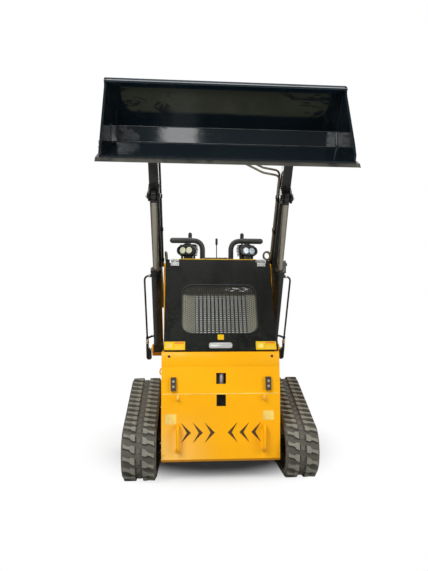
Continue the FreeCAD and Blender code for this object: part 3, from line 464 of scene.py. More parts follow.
def rodSteel():
    # Polished rod with an oily film; the eye at the rod's end is painted black.
    look = {"dark": (0.385, 0.357, 0.285), "pale": (0.41, 0.38, 0.305), "paint": (0.02, 0.02, 0.019),
            "metal": 0.85}
    material, shader, coords = newMaterial("rodSteel")
    across, along, up = split(coords)
    film = noise(coords, 9, 4, 0.6, 0.5)
    eyeLine, tubeLine = high("lift_cylinder_rods").z - 0.066, low("boom_cross_tube").y - 0.09
    isEye = times(fade(up, eyeLine, eyeLine + 0.003), fade(along, tubeLine, tubeLine + 0.01))
    colour = mix(isEye, ramp(film, (0.3, look["dark"]), (0.7, look["pale"])), look["paint"])
    dress(shader, colour, fade(film, 0.3, 0.75, 0.2, 0.23),
          {"Metallic": fade(isEye, 0.0, 1.0, look["metal"], 0.0)})
    return material


def castIron():
    tone = (0.06, 0.055, 0.047)
    material, shader, coords = newMaterial("castIron")
    fine = noise(coords, 120, 4, 0.7)
    colour = ramp(noise(coords, 11, 5, 0.65), (0.3, shaded(tone, 0.6)), (0.7, shaded(tone, 1.4)))
    dress(shader, colour, fade(fine, 0.3, 0.7, 0.45, 0.75), {"Metallic": 0.35})
    bumped(shader, fine, 0.35, 0.001)
    return material


def trackRubber():
    look = {"dark": (0.06, 0.058, 0.047), "pale": (0.105, 0.1, 0.08), "dust": (0.18, 0.17, 0.135)}
    material, shader, coords = newMaterial("trackRubber")
    fine = noise(coords, 90, 5, 0.75)
    colour = ramp(noise(coords, 8, 5, 0.65, 0.5), (0.28, look["dark"]), (0.72, look["pale"]))
    colour = mix(times(fade(fine, 0.42, 0.72), 0.35), colour, look["dust"])
    dress(shader, colour, fade(fine, 0.3, 0.75, 0.6, 0.86), {"Specular IOR Level": 0.35})
    bumped(shader, fine, 0.35, 0.0012)
    return material


def wornRubber(name, tone):
    material, shader, coords = newMaterial(name)
    fine = noise(coords, 160, 4, 0.7)
    colour = ramp(noise(coords, 26, 5, 0.7, 0.6), (0.25, shaded(tone, 0.72)), (0.7, shaded(tone, 1.15)))
    colour = mix(times(fade(fine, 0.5, 0.7), 0.3), colour, shaded(tone, 0.45))
    dress(shader, colour, fade(fine, 0.3, 0.7, 0.68, 0.86))
    bumped(shader, fine, 0.4, 0.0008)
    return material


def softPlastic(name, tone, rough, grainScale=420, grain=0.25):
    material, shader, coords = newMaterial(name)
    broad = noise(coords, 12, 4, 0.6)
    colour = ramp(broad, (0.3, shaded(tone, 0.8)), (0.7, shaded(tone, 1.35)))
    dress(shader, colour, fade(broad, 0.3, 0.7, rough - 0.07, rough + 0.1))
    bumped(shader, noise(coords, grainScale, 3, 0.6), grain, 0.0006)
    return material


def hoseCover():
    # Woven cover, tan on the right-hand lines and nearly black on the left one.
    look = {"dark": (0.22, 0.19, 0.125), "pale": (0.34, 0.29, 0.19), "leftLine": (0.03, 0.024, 0.018)}
    material, shader, coords = newMaterial("hoseCover")
    across, along, up = split(coords)
    broad = noise(coords, 12, 4, 0.6)
    colour = ramp(broad, (0.3, look["dark"]), (0.7, look["pale"]))
    colour = mix(fadeOut(across, -0.326, -0.32), colour, look["leftLine"])
    dress(shader, colour, fade(broad, 0.3, 0.7, 0.42, 0.6))
    bumped(shader, noise(coords, 260, 3, 0.6), 0.4, 0.0006)
    return material


# The guard's colours: the dot colour is painted light, the top band colour is painted shade and the glint
# colour is a painted glint.
guardLook = {
    "pitch": 0.0110, "rowPitch": 0.0137, "hole": 0.0049, "wall": 0.002, "back": 0.0048,
    "gap": (0.075, 0.08, 0.07), "column": (0.14, 0.145, 0.13), "lightDots": (0.95, 0.96, 0.90),
    "rim": (0.32, 0.32, 0.24), "grime": (0.16, 0.16, 0.14), "topShade": (0.036, 0.046, 0.038),
    "glint": (0.8, 0.8, 0.78), "topShadeLine": 1.012,
}


def guardSteel():
    # The perforated guard, with pale dots of painted light in alternate columns, a band of painted shade near
    # its top, and painted glints in that band.
    look = guardLook
    material, shader, coords = newMaterial("guardSteel")
    across, along, up = split(coords)
    broad = noise(coords, 9, 4, 0.6, 0.5)
    fine = noise(coords, 110, 3, 0.6)
    column = fade(sums("SINE", times(across, math.pi / look["pitch"])), -0.25, 0.55)
    turns = times(sums("SUBTRACT", up, low("hood_grille").z + 0.006),
                  2 * math.pi / (look["rowPitch"] * math.cos(hoodLean)))
    row = fadeOut(sums("COSINE", turns), -0.8, -0.1)
    rim = sums("MAXIMUM", fadeOut(across, -0.142, -0.132), fade(across, 0.150, 0.170))
    colour = mix(column, look["gap"], look["column"])
    # Painted light: pale dots in alternate columns of the pattern.
    colour = mix(times(column, row), colour, look["lightDots"])
    colour = mix(rim, colour, look["rim"])
    colour = mix(fade(broad, 0.45, 0.8, 0.0, 0.5), colour, look["grime"])
    # Painted shade: a dark band near the guard's top.
    line = plus(up, times(broad, 0.03))
    colour = mix(fade(line, look["topShadeLine"], look["topShadeLine"] + 0.014), colour, look["topShade"])
    # Painted glints in the dark band.
    streaks = noise(mapped(coords, (34, 80, 120)), 1.0, 2, 0.5)
    glint = times(fade(streaks, 0.54, 0.58), fade(across, 0.03, 0.05),
                  fade(up, 1.024, 1.03), fadeOut(up, 1.046, 1.052))
    colour = mix(glint, colour, look["glint"])
    dress(shader, colour, fade(fine, 0.3, 0.7, 0.35, 0.6), {"Metallic": 0.2})
    return material


def glassLens(name, tint, glow):
    material, shader, coords = newMaterial(name)
    cells = added(coords, "TexVoronoi", {"Vector": coords, "Scale": 150}).outputs["Distance"]
    # Painted glow: the lens emits a faint light in its own tint.
    feed(shader, {"Base Color": ramp(cells, (0.0, tint), (0.75, shaded(tint, 0.7))), "Roughness": 0.08,
                  "Coat Weight": 1.0, "Emission Color": tint, "Emission Strength": glow})
    bumped(shader, cells, 0.25, 0.0015)
    return material


finishes = {
    "yellow": yellowEnamel("yellowEnamel"),
    # The front panel's finish, with a painted light corner and a painted shade strip along its foot.
    "panelYellow": yellowEnamel("panelYellow", paintedCornerLight=0.6, dust=0.03, stained=0.03),
    "plateYellow": yellowEnamel("plateYellow", (0.82, 0.50, 0.012)),
    "palePlate": softPlastic("palePlate", (0.92, 0.57, 0.13), 0.35, 300, 0.1),
    "redMark": softPlastic("redMark", (0.62, 0.10, 0.02), 0.4, 300, 0.1),
    "redKnob": softPlastic("redKnob", (0.5, 0.02, 0.015), 0.35, 200, 0.1),
    "black": blackPaint("hoodBlack", (0.008, 0.0095, 0.007), 0.36, 0.08, 0.15),
    "chassis": blackPaint("chassisBlack", (0.024, 0.023, 0.021), 0.5, 0.05, 0.5, 0.2),
    "armBlack": blackPaint("armBlack", (0.02, 0.021, 0.019), 0.3, 0.3, 0.3),
    "edgeWear": blackPaint("edgeWear", (0.045, 0.044, 0.034), 0.45, 0.1, 0.5, 0.1),
    "bucket": bucketEnamel(),
    "chrome": rodSteel(),
    "zinc": steelFinish("zincPlate", (0.66, 0.66, 0.635), 0.40, 0.12, 0.6),
    "bolt": steelFinish("boltZinc", (0.72, 0.71, 0.66), 0.3, 0.2, 0.9),
    "brass": steelFinish("brassFitting", (0.62, 0.45, 0.2), 0.32, 0.25, 0.9),
    "guard": guardSteel(),
    "iron": castIron(),
    "rubber": trackRubber(),
    "worn": wornRubber("wornRubber", (0.225, 0.218, 0.176)),
    "scuffed": wornRubber("scuffedRubber", (0.115, 0.110, 0.09)),
    "grip": softPlastic("gripFoam", (0.075, 0.076, 0.07), 0.62, 300, 0.5),
    "knob": softPlastic("knobPlastic", (0.02, 0.02, 0.021), 0.35, 300, 0.1),
    "lamp": softPlastic("lampShell", (0.035, 0.035, 0.036), 0.42),
    "hose": softPlastic("hoseRubber", (0.022, 0.022, 0.022), 0.45, 240, 0.3),
    "tanHose": hoseCover(),
    "padRubber": softPlastic("padRubber", (0.045, 0.028, 0.016), 0.6, 300, 0.4),
    "seatVinyl": softPlastic("seatVinyl", (0.022, 0.022, 0.023), 0.42, 500, 0.5),
    # Painted highlight colour for the panel's crease.
    "creaseHighlight": softPlastic("creaseHighlight", (0.98, 0.60, 0.12), 0.3, 200, 0.1),
    # Painted shade: a yellow darkened as if in shade.
    "shadeBacking": softPlastic("shadedYellow", (0.065, 0.036, 0.008), 0.6, 200, 0.2),
    "blueGrey": softPlastic("blueGreyPaint", (0.20, 0.23, 0.27), 0.4, 200, 0.2),
    "foldSheen": softPlastic("foldSheen", (0.06, 0.066, 0.066), 0.3, 200, 0.1),
    "lock": softPlastic("lockPaint", (0.12, 0.12, 0.10), 0.45, 200, 0.2),
    "glass": softPlastic("gaugeFace", (0.6, 0.6, 0.57), 0.12, 90, 0.05),
    "warmLens": glassLens("warmLens", (0.86, 0.86, 0.62), 0.36),
    "clearLens": glassLens("clearLens", (0.62, 0.72, 0.80), 0.25),
}
print("finishes made,", len(finishes))

nodeFinish = {
    "panelYellow": ("front_panel",),
    "yellow": ("right_side_plate", "left_side_plate", "rear_cover", "front_handles", "lift_cylinder_brackets"),
    "black": ("top_deck", "hood", "hood_grille"),
    "chassis": ("main_frame", "track_frames", "drive_motors", "standing_platform"),
    "armBlack": ("right_boom_arm", "left_boom_arm", "boom_cross_tube", "lift_cylinder_barrels",
                 "lift_cylinder_pipes", "tilt_cylinder_barrel"),
    "bucket": ("bucket_shell", "bucket_mount_frame"),
    "edgeWear": ("bucket_cutting_edge",),
    "chrome": ("lift_cylinder_rods", "tilt_cylinder_rod"),
    "zinc": ("hood_hinges", "hood_hinge_leaves", "hood_latch", "boom_pivot_pins"),
    "lock": ("boom_lock",),
    "iron": ("engine_block", "front_idlers", "rear_idlers", "track_rollers", "sprockets"),
    "rubber": ("right_track", "left_track"),
    "grip": ("handlebars", "control_levers"),
    "lamp": ("work_lamps",),
    "hose": ("lift_cylinder_hoses", "boom_hose_clamps"),
    "tanHose": ("boom_hoses",),
    "padRubber": ("front_bumper_pads",),
}


def dressNodes():
    for finish, names in nodeFinish.items():
        for name in names:
            piece = nodes[name]
            if not piece.data.materials:
                piece.data.materials.append(finishes[finish])
            for slot in piece.material_slots:
                slot.material = finishes[finish]


dressNodes()
print("frame pieces dressed")


# Tracks. The loop runs rearwards along its top, as straight runs and arcs round three wheels.
trackLook = {
    "lugHeight": 0.015, "belt": 0.031, "pitch": 0.057, "round": 0.008, "stations": 216, "slant": 0.29,
    "lug": ((-0.085, 0.0105), (-0.068, 0.008), (-0.047, 0.0075), (-0.037, 0.0165), (-0.019, 0.0180)),
    "lip": 0.0035, "sink": 0.004, "chamfer": 0.002, "blockHalf": 0.011, "blockHeight": 0.003,
}


def wheelsOfTrack(inset):
    # Each wheel's centre in the side view, and the loop's radius round it.
    front, drive, rear = (middle(node) for node in ("front_idlers", "drive_motors", "rear_idlers"))
    driveRadius = high("right_track").z + 0.0005 - drive.z
    wheels = (front, front.z), (drive, driveRadius), (rear, rear.z)
    return [(Vector((centre.y, centre.z)), radius - inset) for centre, radius in wheels]


def trackRuns(inset):
    wheels = wheelsOfTrack(inset)
    pairs = list(zip(wheels, wheels[1:] + wheels[:1]))
    leans = []
    for (here, reach), (there, farReach) in pairs:
        way = there - here
        leans.append(math.atan2(way.y, way.x) + math.acos((reach - farReach) / way.length))
    runs = []
    for lean, nextLean, ((here, reach), (there, farReach)) in zip(leans, leans[1:] + leans[:1], pairs):
        normal = Vector((math.cos(lean), math.sin(lean)))
        start, end = here + normal * reach, there + normal * farReach
        runs.append(((end - start).length, start, end, normal, None))
        runs.append((farReach * ((lean - nextLean) % (2 * math.pi)), there, farReach, None, lean))
    return runs


def trackSpot(runs, distance):
    # The place and the outward way at a distance along the loop, in the side view.
    for length, first, second, normal, lean in runs:
        if distance <= length:
            break
        distance -= length
    if lean is None:
        return first.lerp(second, distance / length), normal
    angle = lean - distance / second
    normal = Vector((math.cos(angle), math.sin(angle)))
    return first + normal * second, normal


def offsetOutline(points, reach):
    grown = []
    for i, point in enumerate(points):
        before = (point - points[i - 1]).normalized()
        after = (points[(i + 1) % len(points)] - point).normalized()
        outward = Vector((before.y + after.y, -before.x - after.x)).normalized()
        grown.append(point + outward * reach)
    return grown


def lugOutline():
    slant, lug = trackLook["slant"], trackLook["lug"]
    upper = [Vector((across, half - slant * across)) for across, half in lug]
    lower = [Vector((across, -half - slant * across)) for across, half in lug]
    return lower + upper[::-1]


def addLug(shape, outline, centreX, runs, distance, height, top):
    total = sum(run[0] for run in runs)
    rings = []
    for reach, rise in ((trackLook["lip"], -trackLook["sink"]), (0.0002, height - trackLook["chamfer"]),
                        (-0.0014, height)):
        ring = []
        for point in offsetOutline(outline, reach):
            spot, normal = trackSpot(runs, (distance + point.y) % total)
            flat = spot + normal * rise
            across = point.x * (0.94 if rise > 0 and abs(point.x) > 0.08 else 1.0)
            ring.append(shape.verts.new((centreX + across, flat.x, flat.y)))
        rings.append(ring)
    joinRings(shape, rings[:2], False)
    joinRings(shape, rings[1:], False, top)
    shape.faces.new(rings[2]).material_index = top


def makeTrack(name, node):
    shape = bmesh.new()
    centreX = middle(node).x
    half, thick, bend = high(node).x - centreX, trackLook["belt"], trackLook["round"]
    section = []
    inner = thick - bend / 2, bend / 2
    corners = (1, bend, bend, 0), (-1, bend, bend, 90), (-1, *inner, 180), (1, *inner, 270)
    for sideX, depth, reach, start in corners:
        for angle in spread(math.radians(start), math.radians(start + 90), 5):
            section.append((sideX * (half - reach) + reach * math.cos(angle), depth - reach * math.sin(angle)))
    lugHeight, blockHeight = trackLook["lugHeight"], trackLook["blockHeight"]
    runs = trackRuns(lugHeight)
    total = sum(run[0] for run in runs)
    rings = []
    for i in range(trackLook["stations"]):
        spot, normal = trackSpot(runs, total * i / trackLook["stations"])
        flats = [(across, spot - normal * depth) for across, depth in section]
        rings.append([shape.verts.new((centreX + across, flat.x, flat.y)) for across, flat in flats])
    joinRings(shape, rings)
    outline = lugOutline()
    mirrored = [-point for point in outline]
    blockHalf = trackLook["blockHalf"]
    block = [Vector((x * blockHalf, y * blockHalf * 1.2)) for x, y in ((-1, -1), (1, -1), (1, 1), (-1, 1))]
    raised = (outline, lugHeight, 1), (mirrored, lugHeight, 1), (block, blockHeight, 2)
    count = round(total / trackLook["pitch"])
    for i in range(count):
        for points, height, top in raised:
            addLug(shape, points, centreX, runs, total * (i + 0.5) / count, height, top)
    newPiece(name, shape, ("rubber", "worn", "scuffed"), "chassis", 30, (node,))


makeTrack("rightTrackShoes", "right_track")
makeTrack("leftTrackShoes", "left_track")
print("tracks made")


# Wheels: hub caps, and the bolts of rollers, sprockets, motors and track frames.
runLook = {
    "cap": 0.03, "capOut": 0.006, "capRing": 0.019, "capBolt": 0.005, "rollerInset": 0.038, "rollerBolt": 0.014,
    "hub": 0.026, "driveRing": 0.042, "motorRing": 0.071, "bolt": 0.009, "mountFace": 0.327, "motorFace": 0.329,
    "mountBolts": ((0.166, 0.14), (0.166, 0.18), (0.250, 0.14), (0.250, 0.18)),
}


def makeUndercarriage(name, side):
    shape = bmesh.new()
    away = rightward * side
    outer = side * high("track_frames").x
    for node in ("front_idlers", "rear_idlers"):
        hub = at(outer, middle(node).y, middle(node).z)
        addRod(shape, hub, away, 0, runLook["capOut"], runLook["cap"], sides=32, bevel=0.0015)
        for spot in circle(hub + away * runLook["capOut"], runLook["capRing"], 4, math.pi / 4):
            addBolt(shape, spot, away, runLook["capBolt"], index=1)
    first, last, inset = low("track_rollers").y, high("track_rollers").y, runLook["rollerInset"]
    for y in spread(first + inset, last - inset, 5):
        spot = at(outer - side * 0.002, y, middle("track_rollers").z)
        addBolt(shape, spot, away, runLook["rollerBolt"], index=1)
    driver = at(side * high("sprockets").x, middle("drive_motors").y, middle("drive_motors").z)
    for spot in circle(driver, runLook["driveRing"], 9):
        addBolt(shape, spot, away, runLook["bolt"], index=1)
    addRod(shape, driver, away, 0, 0.008, runLook["hub"], tip=runLook["hub"] - 0.004, sides=32)
    for y, z in runLook["mountBolts"]:
        spot = at(side * runLook["mountFace"], low("front_panel").y + y, z)
        addBolt(shape, spot, away, runLook["bolt"], index=1)
    driver.x = side * runLook["motorFace"]
    for spot in circle(driver, runLook["motorRing"], 6, 0.3):
        addBolt(shape, spot, away, runLook["bolt"], index=1)
    newPiece(name, shape, ("chassis", "bolt"), "chassis")


makeUndercarriage("rightWheelHardware", 1)
makeUndercarriage("leftWheelHardware", -1)
print("wheel hardware made")


# The guard behind the hood's opening: a perforated sheet, its columns of holes staggered.
def makeGuard():
    shape = bmesh.new()
    pitch, step, hole = guardLook["pitch"], guardLook["rowPitch"], guardLook["hole"]
    bottom, top = low("hood_grille").z + 0.004, high("hood_grille").z - 0.004
    half = high("hood_grille").x - 0.002
    origin = onHood(0, bottom + 0.002, -guardLook["back"])
    rows = int((top - bottom) / math.cos(hoodLean) / step)
    columns = int(2 * half / pitch)
    corners = [(1, 0), (1, 1), (0, 1), (-1, 1), (-1, 0), (-1, -1), (0, -1), (1, -1)]
    for column in range(columns):
        across = (column + 0.5 - columns / 2) * pitch
        for row in range(rows):
            rise = (row + (0.5 if column % 2 else 0.0)) * step
            centre = origin + rightward * across + hoodUp * rise
            cell = [centre + rightward * (x * pitch / 2) + hoodUp * (y * step / 2) for x, y in corners]
            rim = circle(centre, hole, 8, 0.0, rightward, hoodUp)
            back = [spot - hoodOut * guardLook["wall"] for spot in rim]
            joinRings(shape, [[shape.verts.new(spot) for spot in ring] for ring in (cell, rim, back)], False)
    newPiece("hoodGuard", shape, ("guard",), "hood", 30, ("hood_grille",))


makeGuard()
print("guard made")


# Hood trim: blank plates, hinge screws, the latch's grip and lock, and the opening's dark edge.
hoodLook = {
    "plateSize": (0.112, 0.044), "plateInset": 0.002, "plateMiddle": 0.724, "plate": 0.0009, "proud": 0.0001,
    "smallPlace": (0.002, 0.7695), "smallSize": (0.034, 0.032), "hingeInner": 0.229, "hingeScrew": 0.0055,
    "grip": (0.104, 0.020), "gripOut": 0.0062, "gripThick": 0.0022, "lock": 0.0065,
    "opening": (0.4205, 0.3195), "openingMiddle": 0.928, "openingCorner": 0.0585, "openingEdge": 0.0026,
}


def makeHoodPlates():
    shape = bmesh.new()
    width, tall = hoodLook["plateSize"][0], hoodLook["plateSize"][1] / math.cos(hoodLean)
    plate = hoodOut * hoodLook["plate"]
    # Raised blank marks: place on the plate, size, corner, steps, thickness and finish.
    marks = [(0.024, tall / 2 - 0.0085, (0.052, 0.007), 0.001, 2, 0.0003, 1)]
    marks += [(0.024, -0.004 - 0.008 * i, (0.046, 0.0016), 0.0005, 1, 0.0002, 2) for i in range(3)]
    marks += [(-0.03, 0.0, (0.03, 0.026), 0.003, 3, 0.0002, 2)]
    for side in bothSides:
        across = side * (high("hood").x - hoodLook["plateInset"] - width / 2)
        centre = onHood(across, hoodLook["plateMiddle"], hoodLook["proud"])
        addPad(shape, centre, hoodUp, (width, tall), 0.004, plate, 3)
        for x, y, size, corner, steps, thick, index in marks:
            spot = centre + rightward * x + hoodUp * y + plate
            addPad(shape, spot, hoodUp, size, corner, hoodOut * thick, steps, index=index)
    small = onHood(*hoodLook["smallPlace"], hoodLook["proud"])
    addPad(shape, small, hoodUp, hoodLook["smallSize"], 0.003, plate, 3)
    newPiece("hoodPlates", shape, ("plateYellow", "redMark", "palePlate"), "hood")


def makeHoodFittings():
    shape = bmesh.new()
    hingeX = (high("hood_hinges").x + hoodLook["hingeInner"]) / 2
    for side in bothSides:
        for step in (-0.014, 0.014):
            spot = onHood(side * hingeX + step, low("hood_hinge_leaves").z + 0.012, 0.0042)
            addScrew(shape, spot, hoodOut, hoodLook["hingeScrew"])
    grip = onHood(0, middle("hood_latch").z, hoodLook["gripOut"])
    thick = hoodOut * hoodLook["gripThick"]
    addPad(shape, grip, hoodUp, hoodLook["grip"], hoodLook["grip"][1] / 2 - 0.0002, thick, 6, bevel=0.0008)
    lock = grip + rightward * 0.036 + thick
    addRod(shape, lock, hoodOut, 0, 0.002, hoodLook["lock"], bevel=0.0006)
    addBlock(shape, lock + hoodOut * 0.0022, (0.0016, 0.007, 0.0012), turnTo(hoodOut), index=1)
    newPiece("hoodFittings", shape, ("zinc", "knob"), "hood")
    shape = bmesh.new()
    centre = onHood(0, hoodLook["openingMiddle"], -0.0008)
    rim = roundedOutline(centre, rightward, hoodUp, *hoodLook["opening"], hoodLook["openingCorner"], 8)
    addTube(shape, rim, hoodLook["openingEdge"], 8, closed=True)
    newPiece("hoodOpeningTrim", shape, ("lamp",), "hood")


makeHoodPlates()
makeHoodFittings()
print("hood trim made")


# Front panel: folded lip, pad bolts, screws, pale blank plates and what shows in its windows.
panelLook = {
    "lipLow": 0.618, "crease": 0.470, "foot": 0.692, "lean": 0.040, "lip": 0.002, "creaseEdge": 0.0026,
    "plates": (((-0.268, 0.3375), (0.060, 0.054)), ((0.2535, 0.353), (0.058, 0.050))),
    "padBolts": (0.511, 0.538), "screws": ((0.305, 0.150), (0.305, 0.540)), "window": 0.046,
}


def onPanel(across, height, out=0.0):
    run = max(0.0, height - panelLook["crease"]) / (panelLook["foot"] - panelLook["crease"]) * panelLook["lean"]
    return at(across, low("front_panel").y + run - out, height)


def makePanelTrim():
    half = high("front_panel").x
    shape = bmesh.new()
    lipTop = panelLook["foot"] - 0.002
    corners = (-half, panelLook["lipLow"]), (half, panelLook["lipLow"]), (half, lipTop), (-half, lipTop)
    addPlate(shape, [onPanel(*corner) for corner in corners], forward * panelLook["lip"], bevel=0.0008)
    newPiece("panelLip", shape, ("panelYellow",), "chassis")
    shape = bmesh.new()
    for place, size in panelLook["plates"]:
        addPad(shape, onPanel(*place, 0.0001), upward, size, 0.004, forward * 0.0008, 3)
    # A pale yellow bead along the crease: a painted highlight on the bend.
    crease = [onPanel(x, panelLook["crease"], -0.0008) for x in spread(0.012 - half, half - 0.012, 21)]
    addTube(shape, crease, panelLook["creaseEdge"], 8, rounded=True, index=1)
    newPiece("panelPlates", shape, ("palePlate", "creaseHighlight"), "chassis")
    shape = bmesh.new()
    padX = high("front_bumper_pads").x - 0.014
    for side in bothSides:
        addScrew(shape, onPanel(side * 0.277, 0.668, 0.002), forward, 0.0075, index=1)
        for height in panelLook["padBolts"]:
            addBolt(shape, onPanel(side * padX, height, 0.020), forward, 0.0072)
        for across, height in panelLook["screws"]:
            addScrew(shape, onPanel(side * across, height, 0.001), forward, 0.0045, index=2)
    newPiece("panelBolts", shape, ("bolt", "chassis", "yellow"), "chassis")


def makePanelInsides():
    # A valve block, its solenoid and brackets behind the window, on the plate that carries them.
    shape = bmesh.new()
    inner = at(0, low("front_panel").y + panelLook["window"], 0)
    addBlock(shape, inner + at(0, 0.05, 0.545), (0.040, 0.05, 0.075), bevel=0.004)
    addRod(shape, inner + at(0.004, 0.01, 0), upward, 0.516, 0.575, 0.015, index=1, bevel=0.002)
    addBlock(shape, inner + at(0, 0.012, 0.436), (0.070, 0.008, 0.08), bevel=0.002, index=2)
    addBolt(shape, inner + at(0, 0.007, 0.44), forward, 0.008, index=2)
    addBlock(shape, inner + at(0, 0.042, 0.452), (0.030, 0.060, 0.030), index=2)
    addBlock(shape, inner + at(0, 0.076, 0.497), (0.611, 0.010, 0.120), bevel=0.002, index=2)
    newPiece("panelWindowParts", shape, ("blueGrey", "zinc", "chassis"), "chassis")
    # A dark yellow plate behind the panel's arrow slots: painted shade for the inside seen through them.
    shape = bmesh.new()
    for side in bothSides:
        spot = at(side * 0.145, low("front_panel").y + 0.0075, 0.238)
        addBlock(shape, spot, (0.22, 0.004, 0.17), bevel=0.001)
    newPiece("panelShadeBacking", shape, ("shadeBacking",), "chassis")


makePanelTrim()
makePanelInsides()


# Grab handles low on the panel, each with a small hook above it.
handleLook = {
    "across": 0.230, "foot": 0.174, "head": 0.300, "depth": 0.036, "bend": 0.024, "radius": 0.0095,
    "flange": (0.031, 0.034), "hookBase": (0.018, 0.030), "hook": 0.450, "hookDrop": 0.008, "hookReach": 0.024,
    "hookRise": 0.020, "hookWire": 0.0045, "screw": 0.0055,
}


def makeHandles():
    shape = bmesh.new()
    panelY = low("front_panel").y
    out, foot, head = panelY - handleLook["depth"], handleLook["foot"], handleLook["head"]
    for side in bothSides:
        x = side * handleLook["across"]
        corners = (x, panelY, foot), (x, out, foot), (x, out, head), (x, panelY, head)
        addTube(shape, bentPath(corners, handleLook["bend"], 8), handleLook["radius"], 20)
        for z in (foot, head):
            addPad(shape, at(x, panelY, z), upward, handleLook["flange"], 0.013, forward * 0.0035, 6, 0.001)
        base = at(x, panelY, handleLook["hook"])
        addPad(shape, base, upward, handleLook["hookBase"], 0.004, forward * 0.005, 4, 0.001)
        z = base.z - handleLook["hookDrop"]
        tipY = panelY - handleLook["hookReach"]
        hook = bentPath([(x, panelY - 0.004, z), (x, tipY, z), (x, tipY, z + handleLook["hookRise"])], 0.010, 6)
        addTube(shape, hook, handleLook["hookWire"], 14, rounded=True, index=1)
        addScrew(shape, base + at(0, -0.005, 0.009), forward, handleLook["screw"], index=1)
    newPiece("grabHandles", shape, ("yellow", "palePlate"), "chassis", 40, ("front_handles",))


makeHandles()
print("panel trim made")


# Tie-down ring beside the panel, on its lug.
ringLook = {
    "place": (0.0105, 0.09), "height": 0.584, "radius": 0.0215, "wire": 0.004, "lug": (0.02, 0.014, 0.05),
}


def makeTieRing():
    shape = bmesh.new()
    corner = low("front_panel")
    centre = at(corner.x + ringLook["place"][0], corner.y + ringLook["place"][1], ringLook["height"])
    addRing(shape, centre, (-0.15, 1, 0), ringLook["radius"], ringLook["wire"], 32)
    addBlock(shape, centre + rightward * 0.014, ringLook["lug"], bevel=0.003)
    newPiece("tieRing", shape, ("plateYellow",), "chassis")


makeTieRing()


# Handlebars with foam sleeves, levers with boots and knobs.
controlLook = {
    "bar": 0.0158, "bend": 0.062, "upright": 0.088, "foam": 0.0172, "foamFrom": (0.42, 0.6, 0.8, 1.0),
    "foot": 0.0245, "footThick": 0.008, "footRing": 0.02, "stick": 0.0055, "bootRing": 0.0065, "knob": 0.0118,
    "middleStick": 0.0028, "middleKnob": 0.0072,
}
deckTop, deckFront, deckBack = high("top_deck").z, low("top_deck").y, high("top_deck").y


def makeHandlebars():
    shape = bmesh.new()
    y, top = middle("handlebars").y, high("handlebars").z - 0.0155
    for side in bothSides:
        end = side * (high("handlebars").x - 0.015)
        upright = side * controlLook["upright"]
        path = bentPath([(upright, y, deckTop), (upright, y, top), (end, y, top)], controlLook["bend"], 12)
        addTube(shape, path, controlLook["bar"], 24, rounded=True)
        sleeve = [at(upright + (end - upright) * share, y, top) for share in controlLook["foamFrom"]]
        addTube(shape, sleeve, controlLook["foam"], 24, rounded=True)
        foot, thick = at(upright, y, deckTop), controlLook["footThick"]
        addRod(shape, foot, upward, 0, thick, controlLook["foot"], sides=32, bevel=0.0015, index=1)
        for spot in circle(foot + upward * thick, controlLook["footRing"], 4, math.pi / 4, rightward, backward):
            addScrew(shape, spot, upward, 0.0028, index=2)
    newPiece("handlebarTubes", shape, ("grip", "knob", "bolt"), "chassis", 40, ("handlebars",))


def makeLevers():
    shape = bmesh.new()
    leverY = high("control_levers").y - 0.026
    tall = high("control_levers").z - deckTop
    ring = controlLook["bootRing"]
    for side in bothSides:
        foot = at(side * (high("control_levers").x - 0.026), leverY, deckTop)
        addRod(shape, foot, upward, 0, tall - 0.03, controlLook["stick"], sides=16, index=1)
        for i in range(5):
            radius = 0.0255 - 0.0042 * i
            addRod(shape, foot, upward, ring * i, ring * i + 0.0068, radius, tip=radius - 0.004, sides=28)
        knob = [foot + upward * (tall - 0.038 + 0.004 * i) for i in range(8)]
        addTube(shape, knob, controlLook["knob"], 24, rounded=True)
        addRod(shape, foot, upward, tall - 0.052, tall - 0.036, 0.0075, tip=0.0105)
    foot = at(0, low("control_levers").y + 0.0075, deckTop)
    addRod(shape, foot, upward, 0, tall - 0.066, controlLook["middleStick"], sides=12, index=1)
    knob = [foot + upward * (tall - 0.078 + 0.006 * i) for i in range(6)]
    addTube(shape, knob, controlLook["middleKnob"], 20, rounded=True)
    addRod(shape, foot, upward, 0, 0.012, 0.012, tip=0.006)
    newPiece("leverSticks", shape, ("knob", "chassis"), "chassis", 40, ("control_levers",))


makeHandlebars()
makeLevers()
print("controls made")


# Work lamps: a pill-shaped bezel, two reflectors behind one lens, cooling fins and a peaked mount.
lampLook = {
    "width": 0.120, "height": 0.057, "turn": 24, "centreX": 0.190, "back": 0.044, "drop": 0.0445,
    "bezel": 0.0038, "eye": 0.0190, "eyeGap": 0.0205, "fins": 8, "finPitch": 0.0088, "finDepth": 0.054,
    "finThick": 0.0034, "bracket": 0.040,
    "peak": ((-0.044, -0.006), (-0.034, 0.006), (-0.006, 0.0175),
             (0.006, 0.0175), (0.034, 0.006), (0.044, -0.006)),
}


